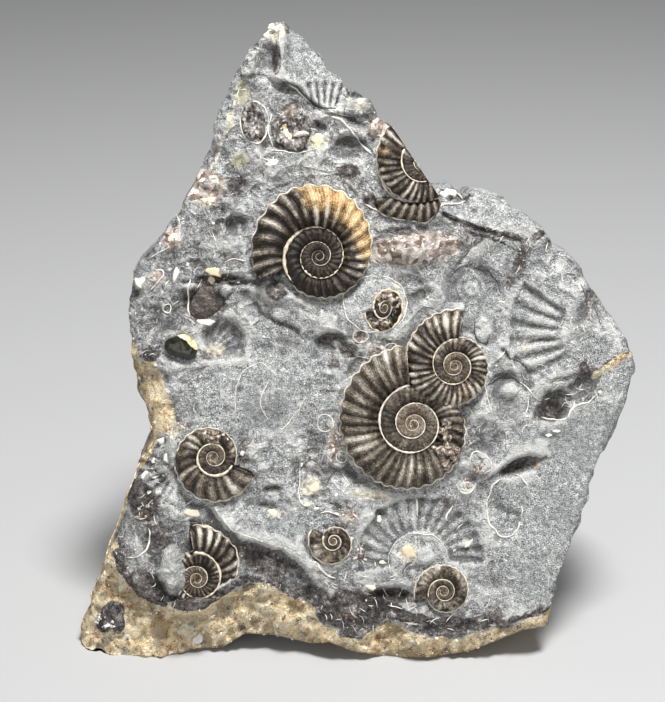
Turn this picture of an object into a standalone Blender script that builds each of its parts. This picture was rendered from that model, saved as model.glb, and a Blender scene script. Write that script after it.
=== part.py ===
"""A cluster of fossil ammonites standing proud of a wedge of broken limestone.

The fossil-bearing face leans back. It is drawn in its own frame: u to the right, v up the slope and w out of
the stone, in millimetres. The rest of the block is one closed surface swept back from the face's outline."""

import math

import bmesh
import bpy
import numpy as np

MM = 0.001
LEAN = math.radians(22)  # how far the face leans back from the vertical
EYE = 405.0  # distance in front of the face from which its outline was read
EYE_V = 68.9  # height on the face that the eye is level with
LIFT = 1.9  # raises the face so that its two feet just reach the ground
CENTRE = (6.2, 31.9)  # middle of the block's footprint, moved to the origin

ACROSS = 112  # cells from the left edge of the face to the right
UP = 136  # cells from its foot to its top
BACK = 12  # cells from the rim of the face to the back
BLOCK_TRIANGLES = 3150
GAP = 0.3  # between each shell and the pocket it sits in

LEFT_EDGE = [
    (-56.6, 3.4), (-56.4, 6.8), (-53.7, 15.1), (-51.6, 21.4), (-48.5, 29.7), (-46.9, 34.2), (-45.3, 39.1),
    (-42.9, 44.8), (-40.4, 48.8), (-41.3, 54.5), (-43.5, 61.0), (-44.4, 65.7), (-45.3, 73.1), (-46.0, 77.0),
    (-44.2, 87.1), (-43.3, 88.9), (-39.0, 93.8), (-35.2, 98.3), (-33.0, 103.5), (-30.3, 107.8),
    (-27.1, 114.1), (-26.7, 117.9), (-25.1, 125.3), (-22.6, 129.8),
]
TOP_EDGE = [
    (-22.6, 129.8), (-19.5, 134.1), (-18.3, 137.0), (-14.5, 141.1), (-12.7, 142.7), (-11.1, 142.7),
    (-7.8, 140.6), (-4.4, 136.8), (-2.4, 134.8), (-1.0, 132.3), (2.1, 130.1),
]
RIGHT_EDGE = [
    (48.7, 7.9), (49.8, 14.4), (52.1, 21.8), (56.6, 33.5), (57.7, 38.2), (60.2, 44.6), (65.8, 57.1),
    (68.1, 65.5), (67.6, 68.6), (65.6, 71.8), (61.8, 77.9), (58.4, 82.6), (56.1, 86.9), (52.3, 90.7),
    (48.7, 93.2), (46.9, 97.0), (43.1, 100.1), (41.1, 100.6), (38.6, 103.5), (34.1, 104.2), (31.2, 104.4),
    (30.0, 103.0), (28.9, 103.0), (26.2, 105.5), (23.5, 103.7), (20.8, 108.2), (17.7, 112.3), (13.4, 119.2),
    (10.7, 120.8), (8.7, 125.1), (7.5, 126.2), (3.7, 126.5), (2.1, 130.1),
]
FOOT_EDGE = [
    (-56.6, 3.4), (-54.6, 0.5), (-50.1, 0.0), (-37.0, 0.0), (-30.7, 2.0), (-24.9, 2.2), (-19.5, 5.4),
    (-12.9, 5.0), (-4.6, 3.1), (-0.6, 3.4), (4.4, 1.4), (12.9, 0.0), (21.9, 0.0), (30.9, 1.4),
    (35.4, 3.1), (42.6, 6.1), (47.8, 7.0), (48.7, 7.9),
]

# Where the tan weathered crust begins, from left to right. The stone falls away below this line.
CRUST_EDGE = [
    (-60.0, 15.0), (-45.6, 14.0), (-37.7, 11.9), (-26.4, 12.2), (-17.4, 17.1), (-9.6, 14.0), (-2.8, 10.1),
    (3.9, 4.4), (10.7, 7.9), (17.4, 5.6), (29.8, 4.7), (42.2, 8.3), (56.0, 13.0),
]
CRUST_FALL = 5.5
CRUST_REACH = 13.0

# Rounded lumps (positive) and hollows: centre u, v, half-widths, turn in degrees, height.
LUMPS = [
    (-11.2, 136.0, 1.6, 7.0, -5, 1.6),
    (-14.2, 133.2, 2.6, 3.6, 20, -2.6),
    (-3.0, 118.6, 2.4, 2.2, 0, -1.6),
    (3.9, 114.1, 4.0, 3.2, 0, -2.8),
    (-21.7, 97.2, 3.0, 2.6, 30, -1.6),
    (-19.7, 91.6, 2.6, 2.6, 0, 1.2),
    (-25.0, 71.2, 5.2, 5.6, 0, -2.6),
    (-37.2, 74.0, 4.0, 7.5, 0, -1.8),
    (-36.5, 85.5, 4.5, 3.0, 0, 1.2),
    (-0.6, 71.1, 3.2, 1.9, 0, -2.0),
    (9.3, 79.0, 7.0, 6.4, 0, 1.0),
    (19.0, 92.4, 9.5, 3.2, 5, 1.2),
    (30.9, 83.0, 6.2, 6.0, 0, 1.3),
    (-15.5, 59.0, 7.6, 7.0, 0, 1.0),
    (-4.6, 39.6, 2.6, 5.2, 8, 1.4),
    (1.2, 38.0, 2.6, 3.4, 0, 1.1),
    (33.0, 43.9, 3.0, 2.8, 0, 1.2),
    (30.0, 38.9, 2.2, 2.2, 0, 1.0),
    (40.2, 61.0, 2.0, 2.0, 0, 1.8),
    (38.6, 57.0, 4.2, 4.0, 0, -1.2),
    (52.4, 58.6, 5.6, 3.4, 20, -3.2),
    (43.0, 41.0, 4.4, 2.0, -20, -2.4),
    (39.3, 34.2, 4.2, 6.6, -10, -1.5),
    (12.5, 14.8, 3.8, 1.5, 0, -2.2),
    (20.8, 23.2, 2.0, 1.8, 0, 1.3),
    (18.3, 18.4, 2.2, 2.0, 0, 1.3),
    (-41.0, 40.0, 4.2, 8.5, 20, -1.6),
    (-40.0, 25.0, 5.0, 5.0, 0, 0.9),
    (57.5, 79.6, 1.8, 4.8, -30, -1.0),
    (62.4, 65.8, 5.2, 0.9, 26, 1.0),
    (-49.0, 7.0, 5.0, 3.6, 0, 1.2),
    (-8.0, 9.0, 7.0, 3.0, -8, 1.0),
    (24.0, 3.5, 7.0, 2.0, 0, 0.9),
]

# Ledges: the line of each, walked so that the higher side is on the left, then its height and reach.
LEDGES = [
    ([(4.4, 121.5), (-1.0, 123.1), (-4.8, 124.7), (-8.9, 128.7), (-10.9, 131.0)][::-1], 2.4, 12.0),
    ([(-32.1, 84.8), (-17.4, 84.8)], 2.2, 6.0),
    ([(-25.8, 33.8), (-21.9, 29.2), (-16.1, 25.2), (-11.1, 23.9), (-4.0, 20.6)], 2.6, 9.0),
    ([(36.0, 46.0), (41.0, 44.6), (46.7, 41.0)], 1.8, 6.0),
    ([(51.2, 53.6), (54.6, 56.7), (59.1, 59.6)][::-1], 1.4, 7.0),
    ([(24.9, 100.1), (35.4, 96.1), (42.2, 93.8), (46.9, 95.6)], 0.9, 8.0),
]

# Moulds of ribbed shells: hub, inner and outer radius, first and last angle, rib count, rib height, sink.
MOULDS = [
    ((19.7, 21.8), 6.3, 14.2, -5, 190, 15, 0.7, 1.4),
    ((30.9, 72.5), 9.0, 23.0, -24, 54, 7, 0.9, 1.2),
    ((-25.0, 79.0), 4.0, 12.0, 215, 320, 6, 0.6, 0.4),
    ((-3.5, 122.0), 3.0, 8.0, 20, 110, 5, 0.6, 0.3),
    ((-34.0, 43.0), 3.0, 11.0, 150, 250, 6, 0.6, 0.3),
]

# Each ammonite: middle u, v; the angle of its mouth and the way it coils inwards (+1 anticlockwise); ribs to
# a turn; turns modelled; how far its middle plane stands above the stone; and its radius at quarter turns
# from the mouth inwards, as (quarter turns, radius).
AMMONITES = {
    "ammonite_upper": {
        "middle": (-3.0, 90.2), "mouth": 225, "coils": -1, "ribs": 28, "turns": 2.4, "proud": 0.6,
        "radii": [(0, 15.0), (0.5, 15.5), (1.5, 16.3), (2.5, 12.2), (3.5, 9.5), (4.5, 8.5), (5.5, 6.9),
                  (6.5, 5.6), (7.5, 5.4), (8.5, 4.6), (9.5, 3.6), (10.5, 2.6), (11.5, 2.2), (14.0, 1.2)],
    },
    "ammonite_lower": {
        "middle": (18.2, 52.4), "mouth": 95, "coils": 1, "ribs": 28, "turns": 2.4, "proud": 0.6,
        "radii": [(0, 17.9), (1, 16.2), (2, 14.2), (3, 11.2), (4, 9.2), (5, 7.9), (6, 6.5), (7, 5.8),
                  (8, 4.9), (9, 4.1), (10, 3.2), (11, 2.7), (12, 2.2), (14, 1.4)],
    },
    "ammonite_overlapping": {
        "middle": (27.5, 65.5), "mouth": 81, "coils": 1, "ribs": 26, "turns": 2.2, "proud": 2.2,
        "radii": [(0, 12.9), (1, 11.1), (2, 8.8), (3, 7.4), (4, 6.5), (5, 5.1), (6, 4.3), (7, 3.8),
                  (8, 3.3), (9, 2.6), (10, 2.1), (11, 1.7), (13, 1.1)],
    },
    "ammonite_edge": {
        "middle": (20.6, 111.2), "mouth": 120, "coils": 1, "ribs": 26, "turns": 1.6, "proud": 0.6,
        "radii": [(0, 11.6), (0.7, 10.4), (1.7, 8.6), (2.7, 7.4), (3.7, 6.4), (4.7, 5.2), (5.7, 4.4),
                  (6.7, 3.5), (7.7, 2.9), (8.7, 2.4), (10.7, 1.6)],
    },
    "ammonite_left": {
        "middle": (-26.8, 45.0), "mouth": -23, "coils": -1, "ribs": 24, "turns": 2.2, "proud": 0.5,
        "radii": [(0, 9.9), (0.75, 9.9), (1.75, 8.5), (2.75, 6.3), (3.75, 5.0), (4.75, 4.4), (5.75, 3.8),
                  (6.75, 3.1), (7.75, 2.7), (8.75, 2.0), (10.75, 1.3)],
    },
    "ammonite_crust": {
        "middle": (-30.5, 17.6), "mouth": 98, "coils": -1, "ribs": 22, "turns": 2.2, "proud": 0.2,
        "radii": [(0, 12.2), (1, 10.3), (1.25, 6.4), (2, 5.6), (3, 5.4), (4, 6.4), (5, 5.6), (6, 4.6),
                  (7, 3.8), (8, 3.0), (9, 2.5), (11, 1.6)],
    },
    "ammonite_small_middle": {
        "middle": (0.2, 26.1), "mouth": 150, "coils": 1, "ribs": 18, "turns": 1.6, "proud": 0.4,
        "radii": [(0, 5.5), (1, 5.3), (2, 4.2), (3, 3.2), (4, 2.6), (5, 2.3), (6, 1.9), (8, 1.2)],
    },
    "ammonite_small_right": {
        "middle": (25.0, 14.7), "mouth": 188, "coils": -1, "ribs": 18, "turns": 1.8, "proud": 0.4,
        "radii": [(0, 8.3), (1, 5.9), (2, 5.6), (3, 4.6), (4, 3.8), (5, 3.0), (6, 2.6), (7, 2.2), (9, 1.4)],
    },
    "ammonite_oblique": {
        "middle": (11.7, 78.6), "mouth": 200, "coils": 1, "ribs": 12, "turns": 1.2, "proud": 0.5,
        "radii": [(0, 5.4), (2, 5.0), (4, 3.0), (6, 2.0), (8, 1.4)], "oval": 0.78, "turn": -15,
    },
}
SHELL_DEPTH = 1.7  # below the middle plane, into the stone
SHELL_FACETS = 0.68  # share of the coil's triangles that is kept, mostly in the outer whorl
RIB_SWELL = 0.022  # of the radius
RIB_HEIGHT = 0.09  # of the whorl's height
WHORL_PROFILE = [(0.28, 0.9), (0.68, 1.0)]  # across a whorl from its inner seam: how far, how high
SEAM_HEIGHT = 0.5  # of the height of the whorl inside it
BROKEN_EDGE = ((13.2, 119.2), (23.5, 104.0))  # the line along which the edge ammonite is broken off

# Broken shells and fragments: middle, half-widths, turn, height, hollow at the middle, ridges across, sides.
FRAGMENTS = {
    "ammonite_edge_whorl": ((15.6, 101.4), (8.6, 3.3), -7, 1.7, 0.0, 7, 30),
    "ammonite_broken_left": ((-17.9, 120.6), (2.7, 4.4), 10, 1.2, 0.9, 0, 14),
    "ammonite_broken_right": ((-9.2, 118.3), (4.5, 4.0), -20, 1.0, 0.8, 0, 14),
    "shell_fragment_glossy": ((-33.9, 69.8), (3.8, 2.7), -12, 1.7, 0.0, 0, 14),
    "shell_fragment_striated": ((-28.5, 79.9), (4.2, 3.6), 25, 1.3, 0.0, 5, 22),
}
FRAGMENT_DEPTH = 1.3
FRAGMENT_PROFILE = [(1.0, 0.25), (0.8, 0.8), (0.4, 1.0)]  # share of the half-widths, share of the height
RIDGE_HEIGHT = 0.16  # of a fragment's height
POCKET_TOP = 9.0

# Planes that the broken back follows: depth at a point, the point's x and z, and slopes in x and z.
BACK_PLANES = [
    (58.0, 0.0, 0.0, 0.0, 0.035),
    (59.0, -30.0, 40.0, 0.5, 0.05),
    (58.0, 38.0, 60.0, -0.55, 0.05),
    (57.0, 10.0, 30.0, 0.1, 0.12),
    (55.5, 0.0, 4.0, -0.03, 0.3),
    (60.0, -10.0, 90.0, -0.16, 0.03),
]
BACK_SHRINK = 0.94
SIDE_SWELL = 3.2

STONE = ((0.34, 0.36, 0.38), 0.85)
DARK_SHELL = ((0.075, 0.06, 0.05), 0.42)
BROWN_SHELL = ((0.16, 0.1, 0.06), 0.4)
CRYSTAL_BROWN = ((0.22, 0.12, 0.08), 0.35)
BLACK_SHELL = ((0.03, 0.028, 0.02), 0.18)
FRAGMENT_LOOKS = {
    "ammonite_edge_whorl": DARK_SHELL,
    "ammonite_broken_left": CRYSTAL_BROWN,
    "ammonite_broken_right": CRYSTAL_BROWN,
    "shell_fragment_glossy": BLACK_SHELL,
    "shell_fragment_striated": BROWN_SHELL,
}


def clear_scene():
    for thing in list(bpy.data.objects):
        bpy.data.objects.remove(thing)


def material(name, look):
    colour, roughness = look
    made = bpy.data.materials.new(name)
    made.use_nodes = True
    surface = made.node_tree.nodes["Principled BSDF"]
    surface.inputs["Base Color"].default_value = (*colour, 1)
    surface.inputs["Roughness"].default_value = roughness
    surface.inputs["Metallic"].default_value = 0
    return made


def add_object(name, mesh, look, parent=None):
    made = bpy.data.objects.new(name, mesh)
    bpy.context.scene.collection.objects.link(made)
    made.parent = parent
    if look is None:
        made.hide_render = True
        made.display_type = "WIRE"
    else:
        mesh.materials.append(material(name + "_finish", look))
    return made


def along(line, count):
    """Points at even spacing along a polyline."""
    line = np.array(line, float)
    far = np.concatenate([[0], np.cumsum(np.hypot(*np.diff(line, axis=0).T))])
    at = np.linspace(0, far[-1], count)
    return np.stack([np.interp(at, far, line[:, 0]), np.interp(at, far, line[:, 1])], axis=1)


def beside(u, v, line):
    """Distance from a polyline, positive on its left, and how far past its ends each point lies."""
    nearest = np.full(u.shape, np.inf)
    side = np.zeros(u.shape)
    past = np.zeros(u.shape)
    last = len(line) - 2
    for n, ((a, b), (c, d)) in enumerate(zip(line, line[1:])):
        length = math.hypot(c - a, d - b)
        t = ((u - a) * (c - a) + (v - b) * (d - b)) / length**2
        held = np.clip(t, 0, 1)
        du = u - a - held * (c - a)
        dv = v - b - held * (d - b)
        away = np.hypot(du, dv)
        closer = away < nearest
        nearest = np.where(closer, away, nearest)
        side = np.where(closer, np.sign((c - a) * dv - (d - b) * du), side)
        over = np.where(t < 0, -t * (n == 0), np.where(t > 1, (t - 1) * (n == last), 0)) * length
        past = np.where(closer, over, past)
    return nearest * side, past


def ease(x):
    """0 well below zero, 1 well above it, and smooth between."""
    return 1 / (1 + np.exp(-np.clip(4 * x, -60, 60)))


def lump(u, v, shape):
    middle_u, middle_v, half_u, half_v, turn, height = shape
    c, s = math.cos(math.radians(turn)), math.sin(math.radians(turn))
    a = ((u - middle_u) * c + (v - middle_v) * s) / half_u
    b = ((v - middle_v) * c - (u - middle_u) * s) / half_v
    return height * np.exp(-((a * a + b * b) ** 1.4))


def ledge(u, v, shape):
    line, height, reach = shape
    side, past = beside(u, v, line)
    fall = np.exp(-np.maximum(side, 0) / reach)
    return height * ease(side / 0.8) * fall * np.exp(-((past / 3) ** 2))


def mould(u, v, shape):
    """A sector of a ring, sunk, with ribs that run outwards from its hub."""
    (hub_u, hub_v), inner, outer, first, last, ribs, height, sink = shape
    r = np.hypot(u - hub_u, v - hub_v)
    turn = (np.degrees(np.arctan2(v - hub_v, u - hub_u)) - first) % 360 / (last - first)
    inside = ease(r - inner) * ease(outer - r) * (turn < 1)
    return inside * (height * np.cos(2 * math.pi * ribs * turn) - sink)


def crust_fall(u, v):
    below = np.maximum(-beside(u, v, CRUST_EDGE)[0], 0)
    rough = 0.35 * np.sin(u * 1.7 + v) * np.sin(v * 2.1 - u * 0.6) * ease(below - 0.5)
    return rough - CRUST_FALL * (1 - np.exp(-below / CRUST_REACH * 2))


def relief(u, v):
    """How far the stone stands out at each point of the face."""
    w = 0.5 * np.sin(u / 9 + 1) * np.sin(v / 11)
    w = w + 0.3 * np.sin(u / 4.1 + v / 6.3) * np.sin(v / 5.2 - u / 7.7 + 2)
    for shape in LUMPS:
        w = w + lump(u, v, shape)
    for shape in LEDGES:
        w = w + ledge(u, v, shape)
    for shape in MOULDS:
        w = w + mould(u, v, shape)
    w = w + crust_fall(u, v)
    left = np.abs(beside(u, v, LEFT_EDGE)[0])
    rim = np.minimum(left, np.abs(beside(u, v, RIGHT_EDGE + TOP_EDGE[-2::-1])[0]))
    return w - 1.3 * np.exp(-rim / 1.6) - 3.4 * np.exp(-left / 4) * ease((66 - v) / 6)


def place(u, v, w):
    """Face millimetres to standing millimetres. What lies deeper is spread outwards, as the outline was read
    from in front of the face."""
    spread = 1 - w / EYE
    v = EYE_V + (v - EYE_V) * spread
    x = u * spread - CENTRE[0]
    y = v * math.sin(LEAN) - w * math.cos(LEAN) - CENTRE[1]
    z = v * math.cos(LEAN) + w * math.sin(LEAN) + LIFT
    return np.stack([x, y, z], axis=-1)


def face_plan():
    """u and v over the face: its four edges, blended across and up it."""
    left, right = along(LEFT_EDGE, UP + 1)[:, None], along(RIGHT_EDGE, UP + 1)[:, None]
    foot, top = along(FOOT_EDGE, ACROSS + 1)[None], along(TOP_EDGE, ACROSS + 1)[None]
    s = np.linspace(0, 1, ACROSS + 1)[None, :, None]
    t = np.linspace(0, 1, UP + 1)[:, None, None]
    sides = (1 - s) * left + s * right
    ends = (1 - t) * foot + t * top
    low = (1 - s) * foot[:, :1] + s * foot[:, -1:]
    high = (1 - s) * top[:, :1] + s * top[:, -1:]
    return sides + ends - (1 - t) * low - t * high


def back_of(front):
    """The broken back: the face drawn in a little, and set on the nearest of a few planes."""
    t = np.linspace(0, 1, UP + 1)[:, None]
    x = front[..., 0] * BACK_SHRINK
    foot = np.interp(x, [30 - CENTRE[0], 46 - CENTRE[0]], [-1.0, 7.0])
    z = front[..., 2] * 0.965
    z = z + (foot - z[:1]) * (1 - t) ** 4
    depths = [
        deep + across * (x + CENTRE[0] - at_x) + up * (z - at_z)
        for deep, at_x, at_z, across, up in BACK_PLANES
    ]
    y = np.min(depths, axis=0) + 0.5 * np.sin(x / 6.3 + z / 9) * np.sin(z / 7.1) - CENTRE[1]
    return np.stack([x, y, z], axis=-1)


def rim_cells():
    """Rows and columns of the face's rim, anticlockwise from its lower left corner."""
    i = [0] * ACROSS + list(range(UP)) + [UP] * ACROSS + list(range(UP, 0, -1))
    j = list(range(ACROSS)) + [ACROSS] * UP + list(range(ACROSS, 0, -1)) + [0] * UP
    return np.array(i), np.array(j)


def side_rows(front, back):
    """Rings of points between the two rims, swollen outwards except along the foot."""
    i, j = rim_cells()
    near, far = front[i, j], back[i, j]
    out = (near + far) / 2 * (1, 0, 1) - (0, 0, 55)
    out = out / np.linalg.norm(out, axis=1, keepdims=True)
    out = out * np.clip((near[:, 2:] - 5) / 18, 0, 1)
    rows = []
    for n in range(1, BACK):
        e = n / BACK
        row = near + (far - near) * e
        x, y, z = row[:, :1], row[:, 1:2], row[:, 2:]
        facets = np.abs(np.sin(z / 8 + y / 13)) + 0.5 * np.sin(y / 5 + x / 7)
        row = row + out * SIDE_SWELL * math.sin(math.pi * e) * facets
        underside = (near[:, 2] < 6) * math.sin(math.pi * e)
        row[:, 2] += underside * (1.8 * np.sin(row[:, 0] / 6 + 1) * np.sin(row[:, 1] / 7 + 1) - 0.3)
        rows.append(row)
    return np.array(rows)


def block_mesh():
    """Front, back and sides as one closed grid, in metres."""
    plan = face_plan()
    u, v = plan[..., 0], plan[..., 1]
    front = place(u, v, relief(u, v))
    back = back_of(front)
    rows = side_rows(front, back)
    size = (UP + 1) * (ACROSS + 1)
    number = np.arange(size).reshape(UP + 1, ACROSS + 1)
    a, b, c, d = number[:-1, :-1], number[:-1, 1:], number[1:, 1:], number[1:, :-1]
    face = np.stack([a, b, c, d], axis=-1).reshape(-1, 4)
    i, j = rim_cells()
    around = len(i)
    between = 2 * size + np.arange((BACK - 1) * around).reshape(-1, around)
    rings = np.concatenate([[number[i, j]], between, [size + number[i, j]]])
    on = np.roll(rings, -1, axis=1)
    wall = np.stack([rings[:-1], rings[1:], on[1:], on[:-1]], axis=-1).reshape(-1, 4)
    points = np.concatenate([front.reshape(-1, 3), back.reshape(-1, 3), rows.reshape(-1, 3)]) * MM
    mesh = bpy.data.meshes.new("matrix")
    mesh.from_pydata(points.tolist(), [], np.concatenate([face, face[:, ::-1] + size, wall]).tolist())
    return mesh


def cut(target, cutter, name):
    boolean = target.modifiers.new(name, "BOOLEAN")
    boolean.operation = "DIFFERENCE"
    boolean.solver = "EXACT"
    boolean.object = cutter


def thin(target, share):
    """Merges small facets until this share of them is left."""
    target.modifiers.new("facets", "DECIMATE").ratio = share


def box_mesh(name, low, high):
    mesh = bpy.data.meshes.new(name)
    shape = bmesh.new()
    bmesh.ops.create_cube(shape, size=1)
    for corner in shape.verts:
        corner.co = [(low[n] + high[n]) / 2 + corner.co[n] * (high[n] - low[n]) for n in range(3)]
    shape.to_mesh(mesh)
    shape.free()
    return mesh


def make_block():
    """The stone, thinned to broad facets and cut level where it stands."""
    block = add_object("matrix", block_mesh(), STONE)
    thin(block, BLOCK_TRIANGLES / (2 * len(block.data.polygons)))
    ground = box_mesh("ground", (-0.1, -0.1, -0.02), (0.1, 0.1, 0))
    cut(block, add_object("ground", ground, None), "level_base")
    return block


def radius_at(shape, quarters):
    """Radius after so many quarter turns, evened out over half a quarter each way."""
    at, size = zip(*shape["radii"])
    spread = np.linspace(-0.5, 0.5, 9)
    sampled = np.interp(np.asarray(quarters)[..., None] + spread, at, np.log(size))
    return np.exp(sampled.mean(axis=-1))


def spiral(shape):
    """Points of the spiral line between whorls, its angle at each, and how many there are to a turn."""
    turn = 2 * shape["ribs"]
    steps = np.arange(int(shape["turns"] * turn) + turn + 1)
    angle = math.radians(shape["mouth"]) + shape["coils"] * steps * 2 * math.pi / turn
    rib = np.where(steps % 2 == 0, 1, -1)
    radius = radius_at(shape, steps * 4 / turn) * (1 + RIB_SWELL * rib)
    return radius, angle, rib, turn


def ring_points(radius, angle, height, oval):
    return np.stack([radius * np.cos(angle) * oval, radius * np.sin(angle), height + 0 * radius], axis=-1)


def ammonite_mesh(name, shape):
    """A coil of whorls as one strip wound on itself: each whorl's inner seam is the next one's outer edge."""
    radius, angle, rib, turn = spiral(shape)
    oval = shape.get("oval", 1)
    whorls = len(radius) - turn
    inner, outer = radius[turn:], radius[:whorls]
    height = (outer - inner) / 2 * (1 + RIB_HEIGHT * rib[:whorls])
    seam = np.zeros(len(radius))
    seam[turn:] = SEAM_HEIGHT * height[np.minimum(np.arange(turn, len(radius)), whorls - 1)]
    rows = [ring_points(radius, angle, seam, oval)]
    for across, up in WHORL_PROFILE:
        rows.append(ring_points(inner + (outer - inner) * across, angle[:whorls], height * up, oval))
    centre = np.array([[0, 0, seam[-1] * 0.7]])
    starts = np.cumsum([0] + [len(row) for row in rows])

    def corner(k, row):
        return [k + turn, starts[1] + k, starts[2] + k, k][row]

    faces = []
    for k in range(whorls - 1):
        faces += [(corner(k, n), corner(k, n + 1), corner(k + 1, n + 1), corner(k + 1, n)) for n in range(3)]
    hole = [*range(whorls - 1, len(radius)), corner(whorls - 1, 1), corner(whorls - 1, 2)]
    hub = starts[-1]
    faces += [(hub, a, b) for a, b in zip(hole, hole[1:] + hole[:1])]
    rim = [*range(turn + 1), corner(0, 1), corner(0, 2)]
    points = np.concatenate(rows + [centre])
    floor = points[rim] * (1, 1, 0) - (0, 0, SHELL_DEPTH + shape["proud"])
    under = [hub + 1 + n for n in range(len(rim))]
    faces += list(zip(rim, under, under[1:] + under[:1], rim[1:] + rim[:1]))
    faces.append(under)
    return solid_mesh(name, np.concatenate([points, floor]), faces)


def solid_mesh(name, points, faces):
    """A closed mesh from millimetre points, its faces turned outwards."""
    mesh = bpy.data.meshes.new(name)
    mesh.from_pydata((np.asarray(points) * MM).tolist(), [], [tuple(int(n) for n in face) for face in faces])
    shape = bmesh.new()
    shape.from_mesh(mesh)
    bmesh.ops.recalc_face_normals(shape, faces=shape.faces)
    shape.to_mesh(mesh)
    shape.free()
    return mesh


def prism_mesh(name, outline, low, high):
    """An outline extruded from low to high."""
    count = len(outline)
    level = np.zeros((count, 1))
    points = np.concatenate([np.hstack([outline, level + low]), np.hstack([outline, level + high])])
    ring = list(range(count))
    faces = [(n, (n + 1) % count, (n + 1) % count + count, n + count) for n in ring]
    return solid_mesh(name, points, faces + [ring, [n + count for n in ring]])


def pocket_mesh(name, shape):
    """The outline through the ammonite's rib crests, wider by the gap, from below it to clear above."""
    radius, angle, _, turn = spiral(shape)
    crests = np.arange(0, turn + 1, 2)
    wide, at = radius[crests] + GAP, angle[crests]
    at[[0, -1]] -= shape["coils"] * GAP / wide[[0, -1]]
    outline = ring_points(wide, at, 0, shape.get("oval", 1))[:, :2]
    return prism_mesh(name, outline, -SHELL_DEPTH - shape["proud"] - GAP, POCKET_TOP)


def oval_ring(half_widths, count, grow=0.0):
    """Points of an oval, a little angular, as a broken piece is."""
    at = np.arange(count) * 2 * math.pi / count
    uneven = 1 + 0.07 * np.sin(3 * at + half_widths[0]) + 0.04 * np.sin(5 * at)
    reach = np.outer(uneven, half_widths) + grow
    return reach * np.stack([np.cos(at), np.sin(at)], axis=-1)


def fragment_mesh(name, half_widths, height, hollow, ridges, sides):
    """Nested ovals rising to a rounded top, which may be hollow in the middle or ridged across."""
    points = []
    for size, up in FRAGMENT_PROFILE:
        ring = oval_ring(half_widths, sides) * size
        level = height * up - hollow * math.exp(-((size / 0.45) ** 2))
        wave = RIDGE_HEIGHT * height * np.cos(ridges * math.pi * ring[:, :1] / half_widths[0])
        points.append(np.hstack([ring, level + wave * (ridges > 0) * (size < 1)]))
    floor = np.hstack([points[0][:, :2], np.full((sides, 1), -FRAGMENT_DEPTH)])
    rings = [floor, *points]
    faces = []
    for n in range(len(rings) - 1):
        for k in range(sides):
            on = (k + 1) % sides
            low, high = n * sides, (n + 1) * sides
            faces.append((low + k, low + on, high + on, high + k))
    hub = len(rings) * sides
    last = hub - sides
    faces += [(last + k, last + (k + 1) % sides, hub) for k in range(sides)]
    faces.append(range(sides))
    return solid_mesh(name, np.vstack([*rings, [[0, 0, height - hollow]]]), faces)


def face_frame():
    """An empty whose X, Y and Z are u, v and w."""
    frame = bpy.data.objects.new("face", None)
    bpy.context.scene.collection.objects.link(frame)
    frame.location = place(0.0, 0.0, 0.0) * MM
    frame.rotation_euler = (math.pi / 2 - LEAN, 0, 0)
    return frame


def set_on_face(thing, middle, level, turn):
    thing.location = (middle[0] * MM, middle[1] * MM, level * MM)
    thing.rotation_euler = (0, 0, math.radians(turn))


def level_under(middle, reach):
    """The stone's mean height round a shell."""
    at = np.arange(24) * math.pi / 12
    return float(relief(middle[0] + reach * np.cos(at), middle[1] + reach * np.sin(at)).mean())


def make_ammonite(name, shape, block, frame):
    middle = shape["middle"]
    level = level_under(middle, shape["radii"][0][1] * 0.8) + shape["proud"]
    shell = add_object(name, ammonite_mesh(name, shape), DARK_SHELL, frame)
    thin(shell, SHELL_FACETS)
    pocket = add_object(name + "_pocket", pocket_mesh(name + "_pocket", shape), None, frame)
    for thing in (shell, pocket):
        set_on_face(thing, middle, level, shape.get("turn", 0))
    cut(block, pocket, name)
    return shell, pocket


def make_fragment(name, row, block, frame):
    middle, half_widths, turn, *form, sides = row
    look = FRAGMENT_LOOKS[name]
    piece = add_object(name, fragment_mesh(name, half_widths, *form, sides), look, frame)
    outline = oval_ring(half_widths, sides, GAP)
    pocket = prism_mesh(name + "_pocket", outline, -FRAGMENT_DEPTH - GAP, POCKET_TOP)
    pocket = add_object(name + "_pocket", pocket, None, frame)
    for thing in (piece, pocket):
        set_on_face(thing, middle, level_under(middle, max(half_widths)), turn)
    cut(block, pocket, name)
    return piece


def broken_off(frame):
    """A cutter for all that lies past the broken edge, up and to the right of it."""
    (a, b), (c, d) = BROKEN_EDGE
    beyond = box_mesh("broken_off", (-0.03, 0, -0.02), (0.03, 0.04, 0.02))
    cutter = add_object("broken_off", beyond, None, frame)
    cutter.location = ((a + c) / 2 * MM, (b + d) / 2 * MM, 0)
    cutter.rotation_euler = (0, 0, math.atan2(d - b, c - a))
    return cutter


def make_cluster():
    clear_scene()
    frame = face_frame()
    block = make_block()
    made = {name: make_ammonite(name, shape, block, frame) for name, shape in AMMONITES.items()}
    pieces = {name: make_fragment(name, row, block, frame) for name, row in FRAGMENTS.items()}
    cut(made["ammonite_lower"][0], made["ammonite_overlapping"][1], "under_the_next")
    cut(pieces["ammonite_edge_whorl"], made["ammonite_edge"][1], "under_the_next")
    past = broken_off(frame)
    cut(made["ammonite_edge"][0], past, "broken_edge")
    cut(pieces["ammonite_edge_whorl"], past, "broken_edge")


make_cluster()
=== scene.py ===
# Fossil ammonites standing proud of a leaning wedge of grey limestone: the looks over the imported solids.
import math

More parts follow.
